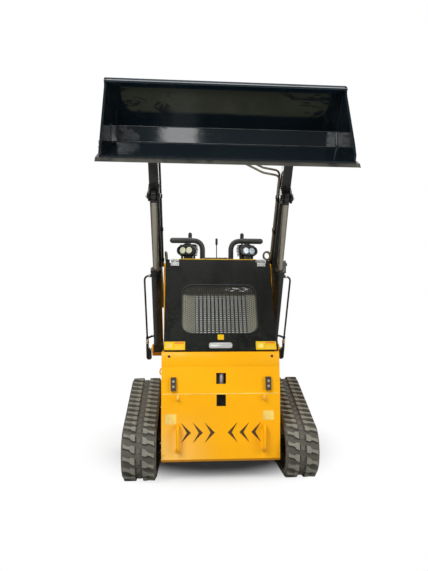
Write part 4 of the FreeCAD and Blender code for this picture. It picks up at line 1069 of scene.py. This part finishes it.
def makeLamp(name, side, lens):
    shape = bmesh.new()
    top = high("work_lamps").z
    place = at(side * lampLook["centreX"], deckFront + lampLook["back"], top - lampLook["drop"])
    turn = Matrix.Rotation(math.radians(side * lampLook["turn"]), 4, "Z")
    across, back = turn @ rightward, turn @ backward
    width, height = lampLook["width"], lampLook["height"]
    foot = deckTop - place.z
    body = place + back * 0.036
    addPad(shape, place + back * 0.001, upward, (width, height), height / 2 - 0.0005, back * 0.018, 10, 0.0025,
           across=across)
    rim = roundedOutline(place, across, upward, width - 0.008, height - 0.008, height / 2 - 0.0045, 10)
    addTube(shape, rim, lampLook["bezel"], 10, closed=True)
    addBlock(shape, body, (width * 0.62, 0.036, height * 0.9), turn, bevel=0.003)
    for i in range(lampLook["fins"]):
        spot = place + back * 0.040 + upward * ((i - lampLook["fins"] * 0.58) * lampLook["finPitch"] + 0.012)
        size = width * (0.94 - 0.03 * abs(i - 4)), lampLook["finDepth"]
        addPad(shape, spot, back, size, 0.01, upward * lampLook["finThick"], 4, across=across)
    addBlock(shape, body + upward * (foot + 0.003), (0.092, 0.046, 0.006), turn, bevel=0.001)
    addBlock(shape, body + upward * (foot / 2 - 0.006), (0.050, 0.028, -foot - 0.012), turn, bevel=0.002)
    for end in bothSides:
        arm = place + across * end * lampLook["bracket"] + back * 0.034
        addBlock(shape, arm + upward * (foot / 2 + 0.004), (0.0055, 0.022, -foot + 0.008), turn, bevel=0.001)
        addBolt(shape, arm + across * end * 0.0028 + upward * 0.001, across * end, 0.006, index=2)
    cap = [place + back * 0.016 + across * x + upward * (height / 2 + rise) for x, rise in lampLook["peak"]]
    addPlate(shape, cap, back * 0.034, bevel=0.0015)
    glass, corner = (width - 0.014, height - 0.014), height / 2 - 0.0075
    addPad(shape, place - back * 0.0005, upward, glass, corner, back * 0.002, 10, index=3, across=across)
    for end in bothSides:
        eye, radius = place + across * end * lampLook["eyeGap"], lampLook["eye"]
        addRod(shape, eye, -back, 0.0008, 0.0034, radius, tip=radius - 0.003, sides=36, index=1)
    return newPiece(name, shape, ("lamp", lens, "bolt", "knob"), "chassis", 35)


rightLamp = makeLamp("rightWorkLamp", 1, "clearLens")
makeLamp("leftWorkLamp", -1, "warmLens")
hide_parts("work_lamps")
print("lamps made")


# Deck: tray edge, console with gauges, key and stop button, filler caps, thigh pad and hoses.
deckLook = {
    "trayHalf": 0.2285, "trayFront": 0.006, "trayBack": 0.033, "edge": 0.0045,
    "console": (0.20, 0.10, 0.05), "consoleBack": 0.115, "slope": 0.65, "gauge": 0.021,
    "gauges": (-0.062, -0.012), "lights": 4, "light": 0.004,
    "caps": ((-0.16, 0.034), (0.165, 0.027)), "ribs": 14, "bolts": (0.06, 0.36, 0.66, 0.94),
    "padRadius": 0.028, "padHalf": 0.19, "padStitch": 0.0012, "coil": 0.0055, "riser": 0.0072,
}


def makeTrayEdge():
    shape = bmesh.new()
    front, back = deckFront + deckLook["trayFront"], deckBack - deckLook["trayBack"]
    centre = at(0, (front + back) / 2, deckTop - 0.0035)
    rim = roundedOutline(centre, rightward, backward, 2 * deckLook["trayHalf"], back - front + 0.001, 0.0145, 6)
    addTube(shape, rim, deckLook["edge"], 8, closed=True)
    newPiece("trayEdge", shape, ("plateYellow",), "chassis")


def makeConsole():
    shape = bmesh.new()
    width, depth, tall = deckLook["console"]
    drop = tall * deckLook["slope"]
    centre = at(-width / 2, deckBack - deckLook["consoleBack"], deckTop)
    side = (-depth / 2, 0), (-depth / 2, tall), (depth / 2, tall - drop), (depth / 2, 0)
    addPlate(shape, [centre + at(0, y, z) for y, z in side], rightward * width, bevel=0.003)
    normal, slope = at(0, drop, depth).normalized(), at(0, depth, -drop).normalized()
    turn = turnTo(normal)
    face = at(0, centre.y, deckTop + tall - drop / 2)
    for x in deckLook["gauges"]:
        spot, radius = face + rightward * x, deckLook["gauge"]
        addRod(shape, spot, normal, 0, 0.004, radius + 0.003, sides=32, bevel=0.001, index=1)
        addRod(shape, spot, normal, 0.003, 0.0045, radius, sides=32, index=2)
        marks = circle(spot + normal * 0.0046, radius - 0.004, 12, math.radians(-120), slope, rightward)
        for mark in marks[:9]:
            addBlock(shape, mark, (0.0012, 0.0012, 0.0006), turn, index=3)
        needle = rightward * 0.6 + slope * 0.8
        addRod(shape, spot + normal * 0.005, needle, 0, radius - 0.006, 0.0007, sides=8, index=4)
    key = face + rightward * 0.035 + slope * 0.008
    addRod(shape, key, normal, 0, 0.006, 0.011, bevel=0.001, index=1)
    addBlock(shape, key + normal * 0.016, (0.003, 0.014, 0.02), turn, bevel=0.001, index=3)
    stop = face + rightward * 0.072 - slope * 0.004
    addRod(shape, stop, normal, 0, 0.008, 0.009, index=3)
    addRod(shape, stop, normal, 0.008, 0.017, 0.0155, tip=0.013, sides=28, bevel=0.0015, index=4)
    for i in range(deckLook["lights"]):
        spot = face + rightward * (0.026 + 0.016 * i) + slope * 0.035
        addRod(shape, spot, normal, 0, 0.003, deckLook["light"], sides=16, index=5 if i else 4)
    looks = ("lamp", "bolt", "glass", "knob", "redKnob", "plateYellow")
    newPiece("deckConsole", shape, looks, "chassis")


def makeCaps():
    shape = bmesh.new()
    for x, radius in deckLook["caps"]:
        cap = at(x, middle("top_deck").y + 0.02, deckTop)
        addRod(shape, cap, upward, 0, 0.010, radius * 0.85, sides=32)
        addRod(shape, cap, upward, 0.010, 0.028, radius, tip=radius * 0.94, sides=32, bevel=0.003)
        ribs = circle(cap + upward * 0.019, radius * 0.99, deckLook["ribs"], 0.0, rightward, backward)
        for i, rib in enumerate(ribs):
            turn = Matrix.Rotation(2 * math.pi * i / len(ribs), 4, "Z")
            addBlock(shape, rib, (0.005, 0.005, 0.014), turn, bevel=0.001)
    for side in bothSides:
        for share in deckLook["bolts"]:
            spot = at(side * 0.27, deckFront + (deckBack - deckFront) * share, deckTop - 0.026)
            addBolt(shape, spot, upward, 0.009, index=1)
    newPiece("deckCaps", shape, ("knob", "bolt"), "chassis")


def makeThighPad():
    shape = bmesh.new()
    half, radius = deckLook["padHalf"], deckLook["padRadius"]
    centre = at(0, deckBack - 0.012, deckTop + 0.006)
    addTube(shape, [centre + rightward * x for x in spread(-half, half, 13)], radius, 20, rounded=True)
    for x in spread(-half, half, 7)[1:-1]:
        addRing(shape, centre + rightward * x, rightward, radius + 0.0004, deckLook["padStitch"])
    newPiece("thighPad", shape, ("seatVinyl",), "chassis", 50)


def makeDeckHoses():
    shape = bmesh.new()
    corner = at(0, deckFront, deckTop)
    foot = corner + at(0.292, 0.05, -0.028)
    coil = corner + at(0.302, 0.075, 0.030)
    angles = [math.radians(-80 + 20 * i) for i in range(48)]
    turns = [coil + at(math.cos(angle) * 0.0205, 0.006 * angle / math.pi - 0.012, math.sin(angle) * 0.0235)
             for angle in angles]
    addTube(shape, [foot] + turns, deckLook["coil"], 12, rounded=True)
    addRod(shape, foot, upward, -0.002, 0.016, 0.0095, sides=6, index=1)
    places = (-0.302, 0.06, -0.03), (-0.305, 0.06, 0.038), (-0.312, 0.10, 0.052), (-0.306, 0.15, -0.03)
    riser = [corner + Vector(place) for place in places]
    addTube(shape, bentPath(riser, 0.020, 6), deckLook["riser"], 14, rounded=True)
    addRod(shape, riser[0], upward, 0, 0.024, 0.0105, sides=6, index=1)
    newPiece("deckHoses", shape, ("tanHose", "bolt"), "chassis", 50)


makeTrayEdge()
makeConsole()
makeCaps()
makeThighPad()
makeDeckHoses()
print("deck made")


# Side plates: screws, the boom pivot's collar and a louvred lip over each vent.
sideLook = {
    "face": 0.317, "screw": 0.0075, "louvre": 0.0035, "louvreThick": 0.0022, "vents": (0.378, 0.538),
    "ventLow": 0.772, "ventPitch": 0.034, "collar": 0.052, "collarX": 0.3295, "collarWire": 0.0022,
    "screws": ((0.03, 0.40), (0.36, 0.66), (0.52, 0.66), (0.80, 0.66), (1.03, 0.66), (1.03, 0.42), (1.03, 0.86),
               (0.42, 0.99), (0.62, 1.16), (0.90, 1.16), (0.40, 0.72)),
}


def makeSide(name, side):
    shape = bmesh.new()
    away = rightward * side
    face = at(side * sideLook["face"], low("front_panel").y, 0)
    start, end = sideLook["vents"]
    out = away * sideLook["louvre"]
    for row in range(6):
        vent = face + upward * (sideLook["ventLow"] + row * sideLook["ventPitch"])
        lip = [vent + at(0, start, -0.001), vent + out + at(0, start + 0.003, -0.006),
               vent + out + at(0, end - 0.003, -0.006), vent + at(0, end, -0.001)]
        addPlate(shape, lip, upward * sideLook["louvreThick"])
    for y, z in sideLook["screws"]:
        addScrew(shape, face + at(0, y, z), away, sideLook["screw"], index=1)
    collar = pivotOf("boom_lift")
    collar.x = side * sideLook["collarX"]
    addRing(shape, collar, rightward, sideLook["collar"], sideLook["collarWire"], 40)
    newPiece(name, shape, ("yellow", "bolt"), "chassis")


makeSide("rightSideHardware", 1)
makeSide("leftSideHardware", -1)


# Rear: louvred lips, service handle, bolts and couplers.
rearLook = {
    "slatHalf": 0.15, "slatLow": 0.750, "slatPitch": 0.028, "grilleBolt": 0.010, "coverBolt": 0.009,
    "handle": 0.0065, "handleHalf": 0.07, "handleReach": 0.035, "handleHeight": 0.60,
    "block": (0.15, 0.024, 0.046), "blockPlace": (0.2, 0.012, 0.642), "coupler": 0.014, "couplerPitch": 0.048,
}


def makeRear():
    rear = at(0, high("rear_cover").y, 0)
    shape = bmesh.new()
    half = rearLook["slatHalf"]
    for row in range(5):
        slat = rear + upward * (rearLook["slatLow"] + rearLook["slatPitch"] * row)
        lip = (-half, 0, 0), (0.003 - half, 0.007, -0.006), (half - 0.003, 0.007, -0.006), (half, 0, 0)
        addPlate(shape, [slat + Vector(corner) for corner in lip], upward * 0.0022)
    for x in (-0.28, 0, 0.28):
        for z in (0.712, 0.888):
            addBolt(shape, rear + at(x, 0, z), backward, rearLook["grilleBolt"], index=1)
    half, reach, height = rearLook["handleHalf"], rearLook["handleReach"], rearLook["handleHeight"]
    corners = [rear + at(x, y, height) for x, y in ((-half, 0), (-half, reach), (half, reach), (half, 0))]
    addTube(shape, bentPath(corners, 0.014, 6), rearLook["handle"], 14, index=2)
    for x in (-0.28, -0.14, 0.14, 0.28):
        for z in (0.68, 0.36):
            addBolt(shape, rear + at(x, 0, z), backward, rearLook["coverBolt"], index=1)
    newPiece("rearHardware", shape, ("yellow", "bolt", "chassis"), "chassis")
    shape = bmesh.new()
    block = rear + Vector(rearLook["blockPlace"])
    addBlock(shape, block, rearLook["block"], bevel=0.003, index=1)
    for step in (-1, 0, 1):
        spot = block + at(step * rearLook["couplerPitch"], 0.012, 0)
        addRod(shape, spot, backward, 0, 0.018, rearLook["coupler"], sides=6, bevel=0.001)
        addRod(shape, spot, backward, 0.018, 0.036, 0.011, sides=28, bevel=0.0015)
        addRod(shape, spot, backward, 0.034, 0.042, 0.0125, tip=0.011, sides=28, index=2)
    newPiece("rearCouplers", shape, ("brass", "chassis", "redKnob"), "chassis")


makeRear()


# Cooler behind the rear grille: two end tanks and a finned core.
coolerLook = {"inset": 0.045, "height": 0.83, "tall": 0.30, "half": 0.19, "fins": 48}


def makeCooler():
    shape = bmesh.new()
    tall, half = coolerLook["tall"], coolerLook["half"]
    core = at(0, high("rear_cover").y - coolerLook["inset"], coolerLook["height"])
    addBlock(shape, core, (2 * half, 0.022, tall), bevel=0.002)
    for end in bothSides:
        tank = core + upward * end * (tall / 2 + 0.012)
        addBlock(shape, tank, (2 * half + 0.02, 0.034, 0.03), bevel=0.006)
    for x in spread(0.004 - half, half - 0.004, coolerLook["fins"]):
        for face in (0.0125, -0.0125):
            addBlock(shape, core + at(x, face, 0), (0.0016, 0.004, tall - 0.01))
    newPiece("coolerCore", shape, ("iron",), "chassis")


makeCooler()


# What stands on the engine block: ribs, a cover, the belt's pulley and an oil filter.
# Places are shares of the block's width, depth and height from its low corner.
engineLook = {
    "ribs": 9, "rib": 0.006, "cover": (0.74, 0.5), "coverThick": 0.022, "coverX": (0.18, 0.39, 0.61, 0.82),
    "coverY": (0.3, 0.7), "pulley": (0.66, 0.32), "pulleyRadius": 0.052, "oil": (0.16, 0.35),
    "oilRadius": 0.028,
}


def makeEngineTrim():
    shape = bmesh.new()
    corner, size = low("engine_block"), high("engine_block") - low("engine_block")

    def onBlock(x, y, z):
        return corner + at(size.x * x, size.y * y, size.z * z)

    for i in range(engineLook["ribs"]):
        spot = onBlock((i + 0.5) / engineLook["ribs"], 0, 0.4) + forward * 0.002
        addBlock(shape, spot, (engineLook["rib"], engineLook["rib"], size.z * 0.66), bevel=0.0015)
    width, depth = engineLook["cover"]
    addPad(shape, onBlock(0.5, 0.5, 1) - upward * 0.001, backward, (size.x * width, size.y * depth), 0.02,
           upward * engineLook["coverThick"], 6, bevel=0.005, index=1)
    for x in engineLook["coverX"]:
        for y in engineLook["coverY"]:
            addBolt(shape, onBlock(x, y, 1) + upward * 0.021, upward, 0.006, index=2)
    pulley, radius = onBlock(engineLook["pulley"][0], 0, engineLook["pulley"][1]), engineLook["pulleyRadius"]
    addRod(shape, pulley, forward, -0.004, 0.004, 0.024, sides=28)
    addRod(shape, pulley, forward, 0.004, 0.016, radius, tip=radius - 0.004, sides=40, bevel=0.002)
    addRod(shape, pulley, forward, 0.016, 0.024, 0.018, sides=28, bevel=0.002, index=2)
    oil, radius = onBlock(engineLook["oil"][0], 0, engineLook["oil"][1]), engineLook["oilRadius"]
    addRod(shape, oil, forward, 0.002, 0.042, radius, tip=radius - 0.002, sides=28, bevel=0.004, index=3)
    newPiece("engineTrim", shape, ("iron", "knob", "bolt", "blueGrey"), "chassis")


makeEngineTrim()
print("side and rear hardware made")


# Boom: screws and pin caps on the arms, and the weld beads at the knee.
boomLook = {
    "outer": 0.385, "knee": (-0.4028, 1.79), "kneeBolt": 0.008, "screw": 0.007, "screws": (0.16, 0.30, 0.62),
    "capX": 0.397, "tiltPin": 0.052, "bead": 0.3335, "beadRadius": 0.0375,
}


def makeBoomHardware():
    shape = bmesh.new()
    pivot = pivotOf("boom_lift")
    bend = at(0, pivot.y - 0.340, pivot.z + 0.190)
    knee = at(0, *boomLook["knee"])
    for side in bothSides:
        away = rightward * side
        outer = away * boomLook["outer"]
        addBolt(shape, outer + at(0, -0.40, knee.z), away, boomLook["kneeBolt"])
        for share in boomLook["screws"]:
            addScrew(shape, outer + bend.lerp(knee, share), away, boomLook["screw"])
        cap = at(side * boomLook["capX"], pivot.y, pivot.z)
        addRod(shape, cap, away, -0.004, 0, 0.011, sides=6)
        addRod(shape, cap, away, 0, 0.008, 0.0045, tip=0.003, sides=16, index=1)
    for side in bothSides:
        away = rightward * side
        addBolt(shape, pivotOf("tilt_barrel_swing") + away * boomLook["tiltPin"], away, 0.013)
    newPiece("boomBolts", shape, ("bolt", "brass"), "boom")
    shape = bmesh.new()
    for side in bothSides:
        away = rightward * side
        addRing(shape, knee + away * boomLook["bead"], rightward, boomLook["beadRadius"], 0.0035, 40)
        for across in (0.036, 0.048):
            addRing(shape, knee + away * across, rightward, 0.0372, 0.0028, 32)
    newPiece("boomWelds", shape, ("armBlack",), "boom", 60)


makeBoomHardware()


# Lift cylinders: gland flats, wipers, port nuts, pipes, hose loops and the silver ends of the eye pins.
liftLook = {
    "pipe": 0.0056, "hose": 0.0086, "centreX": 0.360, "pipeX": 0.429, "innerX": 0.406, "mouth": 0.575,
    "port": 0.529, "eye": 1.0249, "eyeHalf": 0.0345, "pin": 0.0125, "loopLow": -0.080, "pipeBend": 0.036,
}


def makeLiftHardware():
    base = pivotOf("lift_barrel_swing")
    axis = Vector(jointOf("lift_rod_slide")["axis"]).normalized()
    centreX, pipeX, innerX = liftLook["centreX"], liftLook["pipeX"], liftLook["innerX"]
    mouth, port, eyeHalf, pin = liftLook["mouth"], liftLook["port"], liftLook["eyeHalf"], liftLook["pin"]
    shape, pins, lines, hoses = (bmesh.new() for piece in range(4))

    def on(side, across, reach):
        return at(side * across, base.y, base.z) + axis * reach

    for side in bothSides:
        away = rightward * side
        barrel, pipe = on(side, centreX, 0), on(side, pipeX, 0)
        addRod(shape, barrel, axis, mouth - 0.031, mouth - 0.013, 0.0328, sides=12, bevel=0.001)
        addRod(shape, barrel, axis, mouth - 0.001, mouth + 0.0008, 0.0245, sides=32, index=2)
        addRod(shape, on(side, 0.394, port), away, 0, 0.012, 0.0105, sides=6, bevel=0.0008, index=1)
        addRod(shape, on(side, 0.4045, 0), away, 0, 0.004, 0.0125, sides=6, bevel=0.001, index=1)
        corners = on(side, 0.388, port), on(side, pipeX, port), on(side, pipeX, 0.060)
        addTube(lines, bentPath(corners, liftLook["pipeBend"], 10), liftLook["pipe"], 16)
        addRod(lines, pipe, -axis, -0.072, -0.046, 0.0088, sides=6, bevel=0.0008, index=1)
        addRod(lines, pipe, -axis, -0.060, -0.040, 0.0098, bevel=0.0008, index=1)
        addRound(lines, on(side, 0.396, 0.096), on(side, pipeX, 0.080), 0.0065, sides=12)
        addRod(lines, pipe, -axis, -0.088, -0.074, 0.0085, sides=20, bevel=0.001)
        down, inner = liftLook["loopLow"], innerX + 0.0085
        corners = (pipeX, 0.046), (pipeX + 0.002, 0.0), (pipeX + 0.003, down), (inner, down), (inner, 0.0)
        loop = bentPath([on(side, across, reach) for across, reach in corners], 0.0086, 8)
        addTube(hoses, loop, liftLook["hose"], 20)
        addRod(hoses, on(side, innerX, 0), away, -0.005, 0.008, 0.0108, sides=28, bevel=0.001, index=1)
        eye = on(side, centreX, liftLook["eye"])
        addRod(pins, eye, away, eyeHalf, eyeHalf + 0.005, pin, sides=28, bevel=0.0012)
        addBolt(pins, eye + away * (eyeHalf + 0.004), away, 0.009)
        addRod(pins, eye, -away, eyeHalf, eyeHalf + 0.002, pin, sides=28, bevel=0.0008)
        addRod(pins, on(side, 0.386, liftLook["eye"] + 0.020), away, 0, 0.010, 0.006, sides=16)
    newPiece("liftFittings", shape, ("armBlack", "bolt", "padRubber"), "lift_barrels")
    newPiece("liftEyePins", pins, ("bolt",), "boom")
    newPiece("liftPipeRuns", lines, ("armBlack", "bolt"), "lift_barrels", 50,
             ("lift_cylinder_pipes",))
    newPiece("liftHoseLoops", hoses, ("hose", "bolt"), "lift_barrels", 50,
             ("lift_cylinder_hoses",))


makeLiftHardware()


# Tilt cylinder: gland, hose ports and the pins' ends in the bucket's ears.
tiltLook = {
    "mouth": 0.332, "ports": (0.075, 0.275), "eye": 0.590, "earX": 0.041, "pin": 0.0135, "ears": (0.312, 0.408),
}


def makeTiltHardware():
    base = pivotOf("tilt_barrel_swing")
    axis = Vector(jointOf("tilt_rod_slide")["axis"]).normalized()
    shape = bmesh.new()
    mouth = tiltLook["mouth"]
    addRod(shape, base, axis, mouth - 0.024, mouth - 0.005, 0.0345, sides=12, bevel=0.0015)
    for reach in tiltLook["ports"]:
        addRod(shape, base + axis * reach, upward, 0.026, 0.044, 0.011, sides=20)
        addRod(shape, base + axis * reach, upward, 0.040, 0.050, 0.0115, sides=6, bevel=0.0008, index=1)
    newPiece("tiltFittings", shape, ("armBlack", "bolt"), "tilt_barrel")
    shape = bmesh.new()
    eye, pin = base + axis * tiltLook["eye"], pivotOf("bucket_tilt")
    for side in bothSides:
        away = rightward * side
        spot = eye + away * tiltLook["earX"]
        addRod(shape, spot, away, 0, 0.006, tiltLook["pin"], sides=28, bevel=0.001)
        addBolt(shape, spot + away * 0.006, away, 0.009)
        for across, facing in zip(tiltLook["ears"], (-away, away)):
            addBolt(shape, at(side * across, pin.y, pin.z), facing, 0.013)
    newPiece("bucketPinEnds", shape, ("bolt",), "bucket")


makeTiltHardware()
print("boom and cylinder hardware made")


# Bucket: weld beads in its corners, wear strips under its floor, side gussets and pale lines along its folds
# that are painted highlights.
bucketLook = {
    "dump": 25.2, "root": (-1.0738, 1.536), "bead": 0.004, "inset": 0.010, "foldInset": 0.022, "fold": 0.0014,
    "profile": ((0.02, 0.0), (0.349, 0.0), (0.381, 0.067), (0.315, 0.262)),
    "folds": ((0.3475, 0.0020), (0.3795, 0.0665)), "strips": (-0.4, -0.13, 0.13, 0.4), "stripHalf": 0.02,
    "strip": (0.11, 0.335), "plate": 0.006,
    "gusset": ((0.03, 0.004), (0.16, 0.004), (0.15, 0.05), (0.06, 0.05)),
}


def onBucket(across, along, up):
    # A place on the bucket, measured from its edge along its floor as it stands at rest.
    angle = math.radians(bucketLook["dump"])
    y, z = bucketLook["root"]
    return at(across, y + along * math.cos(angle) - up * math.sin(angle),
              z + along * math.sin(angle) + up * math.cos(angle))


def makeBucketDetail():
    shape = bmesh.new()
    half, profile = high("bucket_shell").x - bucketLook["inset"], bucketLook["profile"]
    for side in bothSides:
        path = []
        for start, end in zip(profile, profile[1:]):
            path += [onBucket(side * half, *Vector(start).lerp(Vector(end), i / 14)) for i in range(14)]
        addTube(shape, path, bucketLook["bead"], 8)
    newPiece("bucketWelds", shape, ("bucket",), "bucket", 60)
    shape = bmesh.new()
    down = (onBucket(0, 0, -1) - onBucket(0, 0, 0)) * bucketLook["plate"]
    stripHalf, (start, end) = bucketLook["stripHalf"], bucketLook["strip"]
    for x in bucketLook["strips"]:
        corners = (x - stripHalf, start), (x + stripHalf, start), (x + stripHalf, end), (x - stripHalf, end)
        addPlate(shape, [onBucket(*corner, -0.008) for corner in corners], down, bevel=0.001)
    edge = high("bucket_shell").x
    for side in bothSides:
        away = rightward * side
        plate = [onBucket(side * edge, *corner) for corner in bucketLook["gusset"]]
        addPlate(shape, plate, away * bucketLook["plate"], bevel=0.001)
        for along in (0.075, 0.13):
            addBolt(shape, onBucket(side * (edge + bucketLook["plate"]), along, 0.026), away, 0.009, index=1)
    newPiece("bucketWearParts", shape, ("bucket", "bolt"), "bucket")
    # Thin pale tubes along the two folds: painted highlights.
    shape = bmesh.new()
    half = edge - bucketLook["foldInset"]
    for fold in bucketLook["folds"]:
        addTube(shape, [onBucket(x, *fold) for x in spread(-half, half, 21)], bucketLook["fold"], 6)
    newPiece("bucketFoldHighlights", shape, ("foldSheen",), "bucket", 60)


makeBucketDetail()
print("bucket detail made")


# Platform: raised tread marks on its plate and the hinge pins' heads.
treadLook = {
    "rows": 13, "columns": 18, "plate": 0.006, "stud": 0.0045, "bar": (0.0155, 0.0042, 0.0014), "pinX": 0.211,
}


def makePlatform():
    shape = bmesh.new()
    start, end, pivot = low("standing_platform"), high("standing_platform"), pivotOf("platform_fold")
    top = start.z + treadLook["plate"]
    x0, x1, y0, y1 = start.x + 0.025, end.x - 0.025, pivot.y + 0.045, end.y - 0.02
    rows, columns = treadLook["rows"], treadLook["columns"]
    for row in range(rows):
        for column in range(columns):
            spot = at(x0 + (x1 - x0) * (column + 0.5) / columns, y0 + (y1 - y0) * (row + 0.5) / rows, top)
            turn = Matrix.Rotation(math.radians(45 if (row + column) % 2 else -45), 4, "Z")
            addRod(shape, spot, upward, 0, 0.0018, treadLook["stud"], tip=0.0032, sides=6)
            addBlock(shape, spot + upward * 0.0007, treadLook["bar"], turn)
    for side in bothSides:
        addBolt(shape, at(side * treadLook["pinX"], pivot.y, pivot.z), rightward * side, 0.010, index=1)
    newPiece("platformTread", shape, ("chassis", "bolt"), "platform")


makePlatform()
print("platform made")


# Floor, light and camera.
studio = {
    "floorTone": 0.93, "floorOther": 0.5, "floorMiddle": (0, -0.9, 0), "floorReach": (1.35, 0.87, 1.0),
    "clearFrom": 0.80, "clearTo": 1.3, "clearLeast": 0.02, "worldStrength": 0.27, "floorHalf": 14,
    "cameraPlace": (-0.17, -3.653, 0.866), "cameraYaw": 5.42, "film": 36, "focalShare": 620 / 571,
    "shift": (-34 / 571, 34 / 571), "white": (1, 1, 1, 1),
}
lamps = {
    "keyLight": {"place": (-2.0, -3.6, 3.6), "target": (0, -0.2, 0.8), "size": (2.2, 2.2), "power": 165},
    "fillLight": {"place": (3.0, -3.0, 1.9), "target": (0, -0.2, 0.7), "size": (2.0, 2.0), "power": 66},
    "topLight": {"place": (0.0, 0.4, 4.2), "target": (0, 0.0, 0.0), "size": (3.2, 3.2), "power": 60},
    "backLight": {"place": (0.5, 3.2, 3.2), "target": (0, 0, 1.0), "size": (3.0, 2.0), "power": 50},
    "stripLight": {"place": (-0.27, -4.25, 2.76), "target": (-0.22, -0.76, 1.72), "size": (0.36, 0.5),
                   "power": 4.6},
}


def cameraShare(tree):
    return tree.nodes.new("ShaderNodeLightPath").outputs["Is Camera Ray"]


def vectorMath(way, values, out):
    node = added(values[0], "VectorMath", {})
    node.operation = way
    return feed(node, values).outputs[out]


def makeFloor():
    mesh = bpy.data.meshes.new("studioFloor")
    plan = bmesh.new()
    bmesh.ops.create_grid(plan, x_segments=2, y_segments=2, size=studio["floorHalf"])
    plan.to_mesh(mesh)
    plan.free()
    floor = bpy.data.objects.new("studioFloor", mesh)
    bpy.context.scene.collection.objects.link(floor)
    material, shader, coords = newMaterial("studioWhite")
    seen = cameraShare(material.node_tree)
    tone = fade(seen, 0.0, 1.0, studio["floorOther"], studio["floorTone"])
    feed(shader, {"Base Color": tone, "Roughness": 0.9, "Specular IOR Level": 0.1})
    # Plain near the object, so that its shadow shows, and clear white farther out.
    away = vectorMath("ADD", {0: coords, 1: studio["floorMiddle"]}, 0)
    distance = vectorMath("LENGTH", {0: mapped(away, studio["floorReach"])}, "Value")
    clear = fade(distance, studio["clearFrom"], studio["clearTo"], studio["clearLeast"], 1.0)
    glow = added(seen, "Emission", {"Color": studio["white"]})
    blend = added(seen, "MixShader", {0: times(clear, seen), 1: shader.outputs[0], 2: glow.outputs[0]})
    feed(material.node_tree.nodes["Material Output"], {"Surface": blend.outputs[0]})
    mesh.materials.append(material)


def makeWorld():
    world = bpy.data.worlds.new("studioAir")
    world.use_nodes = True
    strength = fade(cameraShare(world.node_tree), 0.0, 1.0, studio["worldStrength"], 1.0)
    feed(world.node_tree.nodes["Background"], {"Color": studio["white"], "Strength": strength})
    bpy.context.scene.world = world


def makeLight(name, look):
    data = bpy.data.lights.new(name, "AREA")
    data.shape = "RECTANGLE"
    data.size, data.size_y = look["size"]
    data.energy = look["power"]
    light = bpy.data.objects.new(name, data)
    light.location = look["place"]
    light.rotation_euler = (Vector(look["target"]) - Vector(look["place"])).to_track_quat("-Z", "Y").to_euler()
    bpy.context.scene.collection.objects.link(light)


def makeCamera():
    data = bpy.data.cameras.new("studioCamera")
    data.sensor_fit = "AUTO"
    data.sensor_width = studio["film"]
    data.lens = studio["film"] * studio["focalShare"]
    data.shift_x, data.shift_y = studio["shift"]
    data.clip_end = 60
    camera = bpy.data.objects.new("studioCamera", data)
    camera.location = studio["cameraPlace"]
    camera.rotation_euler = (math.radians(90), 0, -math.radians(studio["cameraYaw"]))
    bpy.context.scene.collection.objects.link(camera)
    bpy.context.scene.camera = camera


makeFloor()
makeWorld()
for name, look in lamps.items():
    makeLight(name, look)
makeCamera()
bpy.context.scene.view_settings.view_transform = "Standard"
print("floor, light and camera ready")
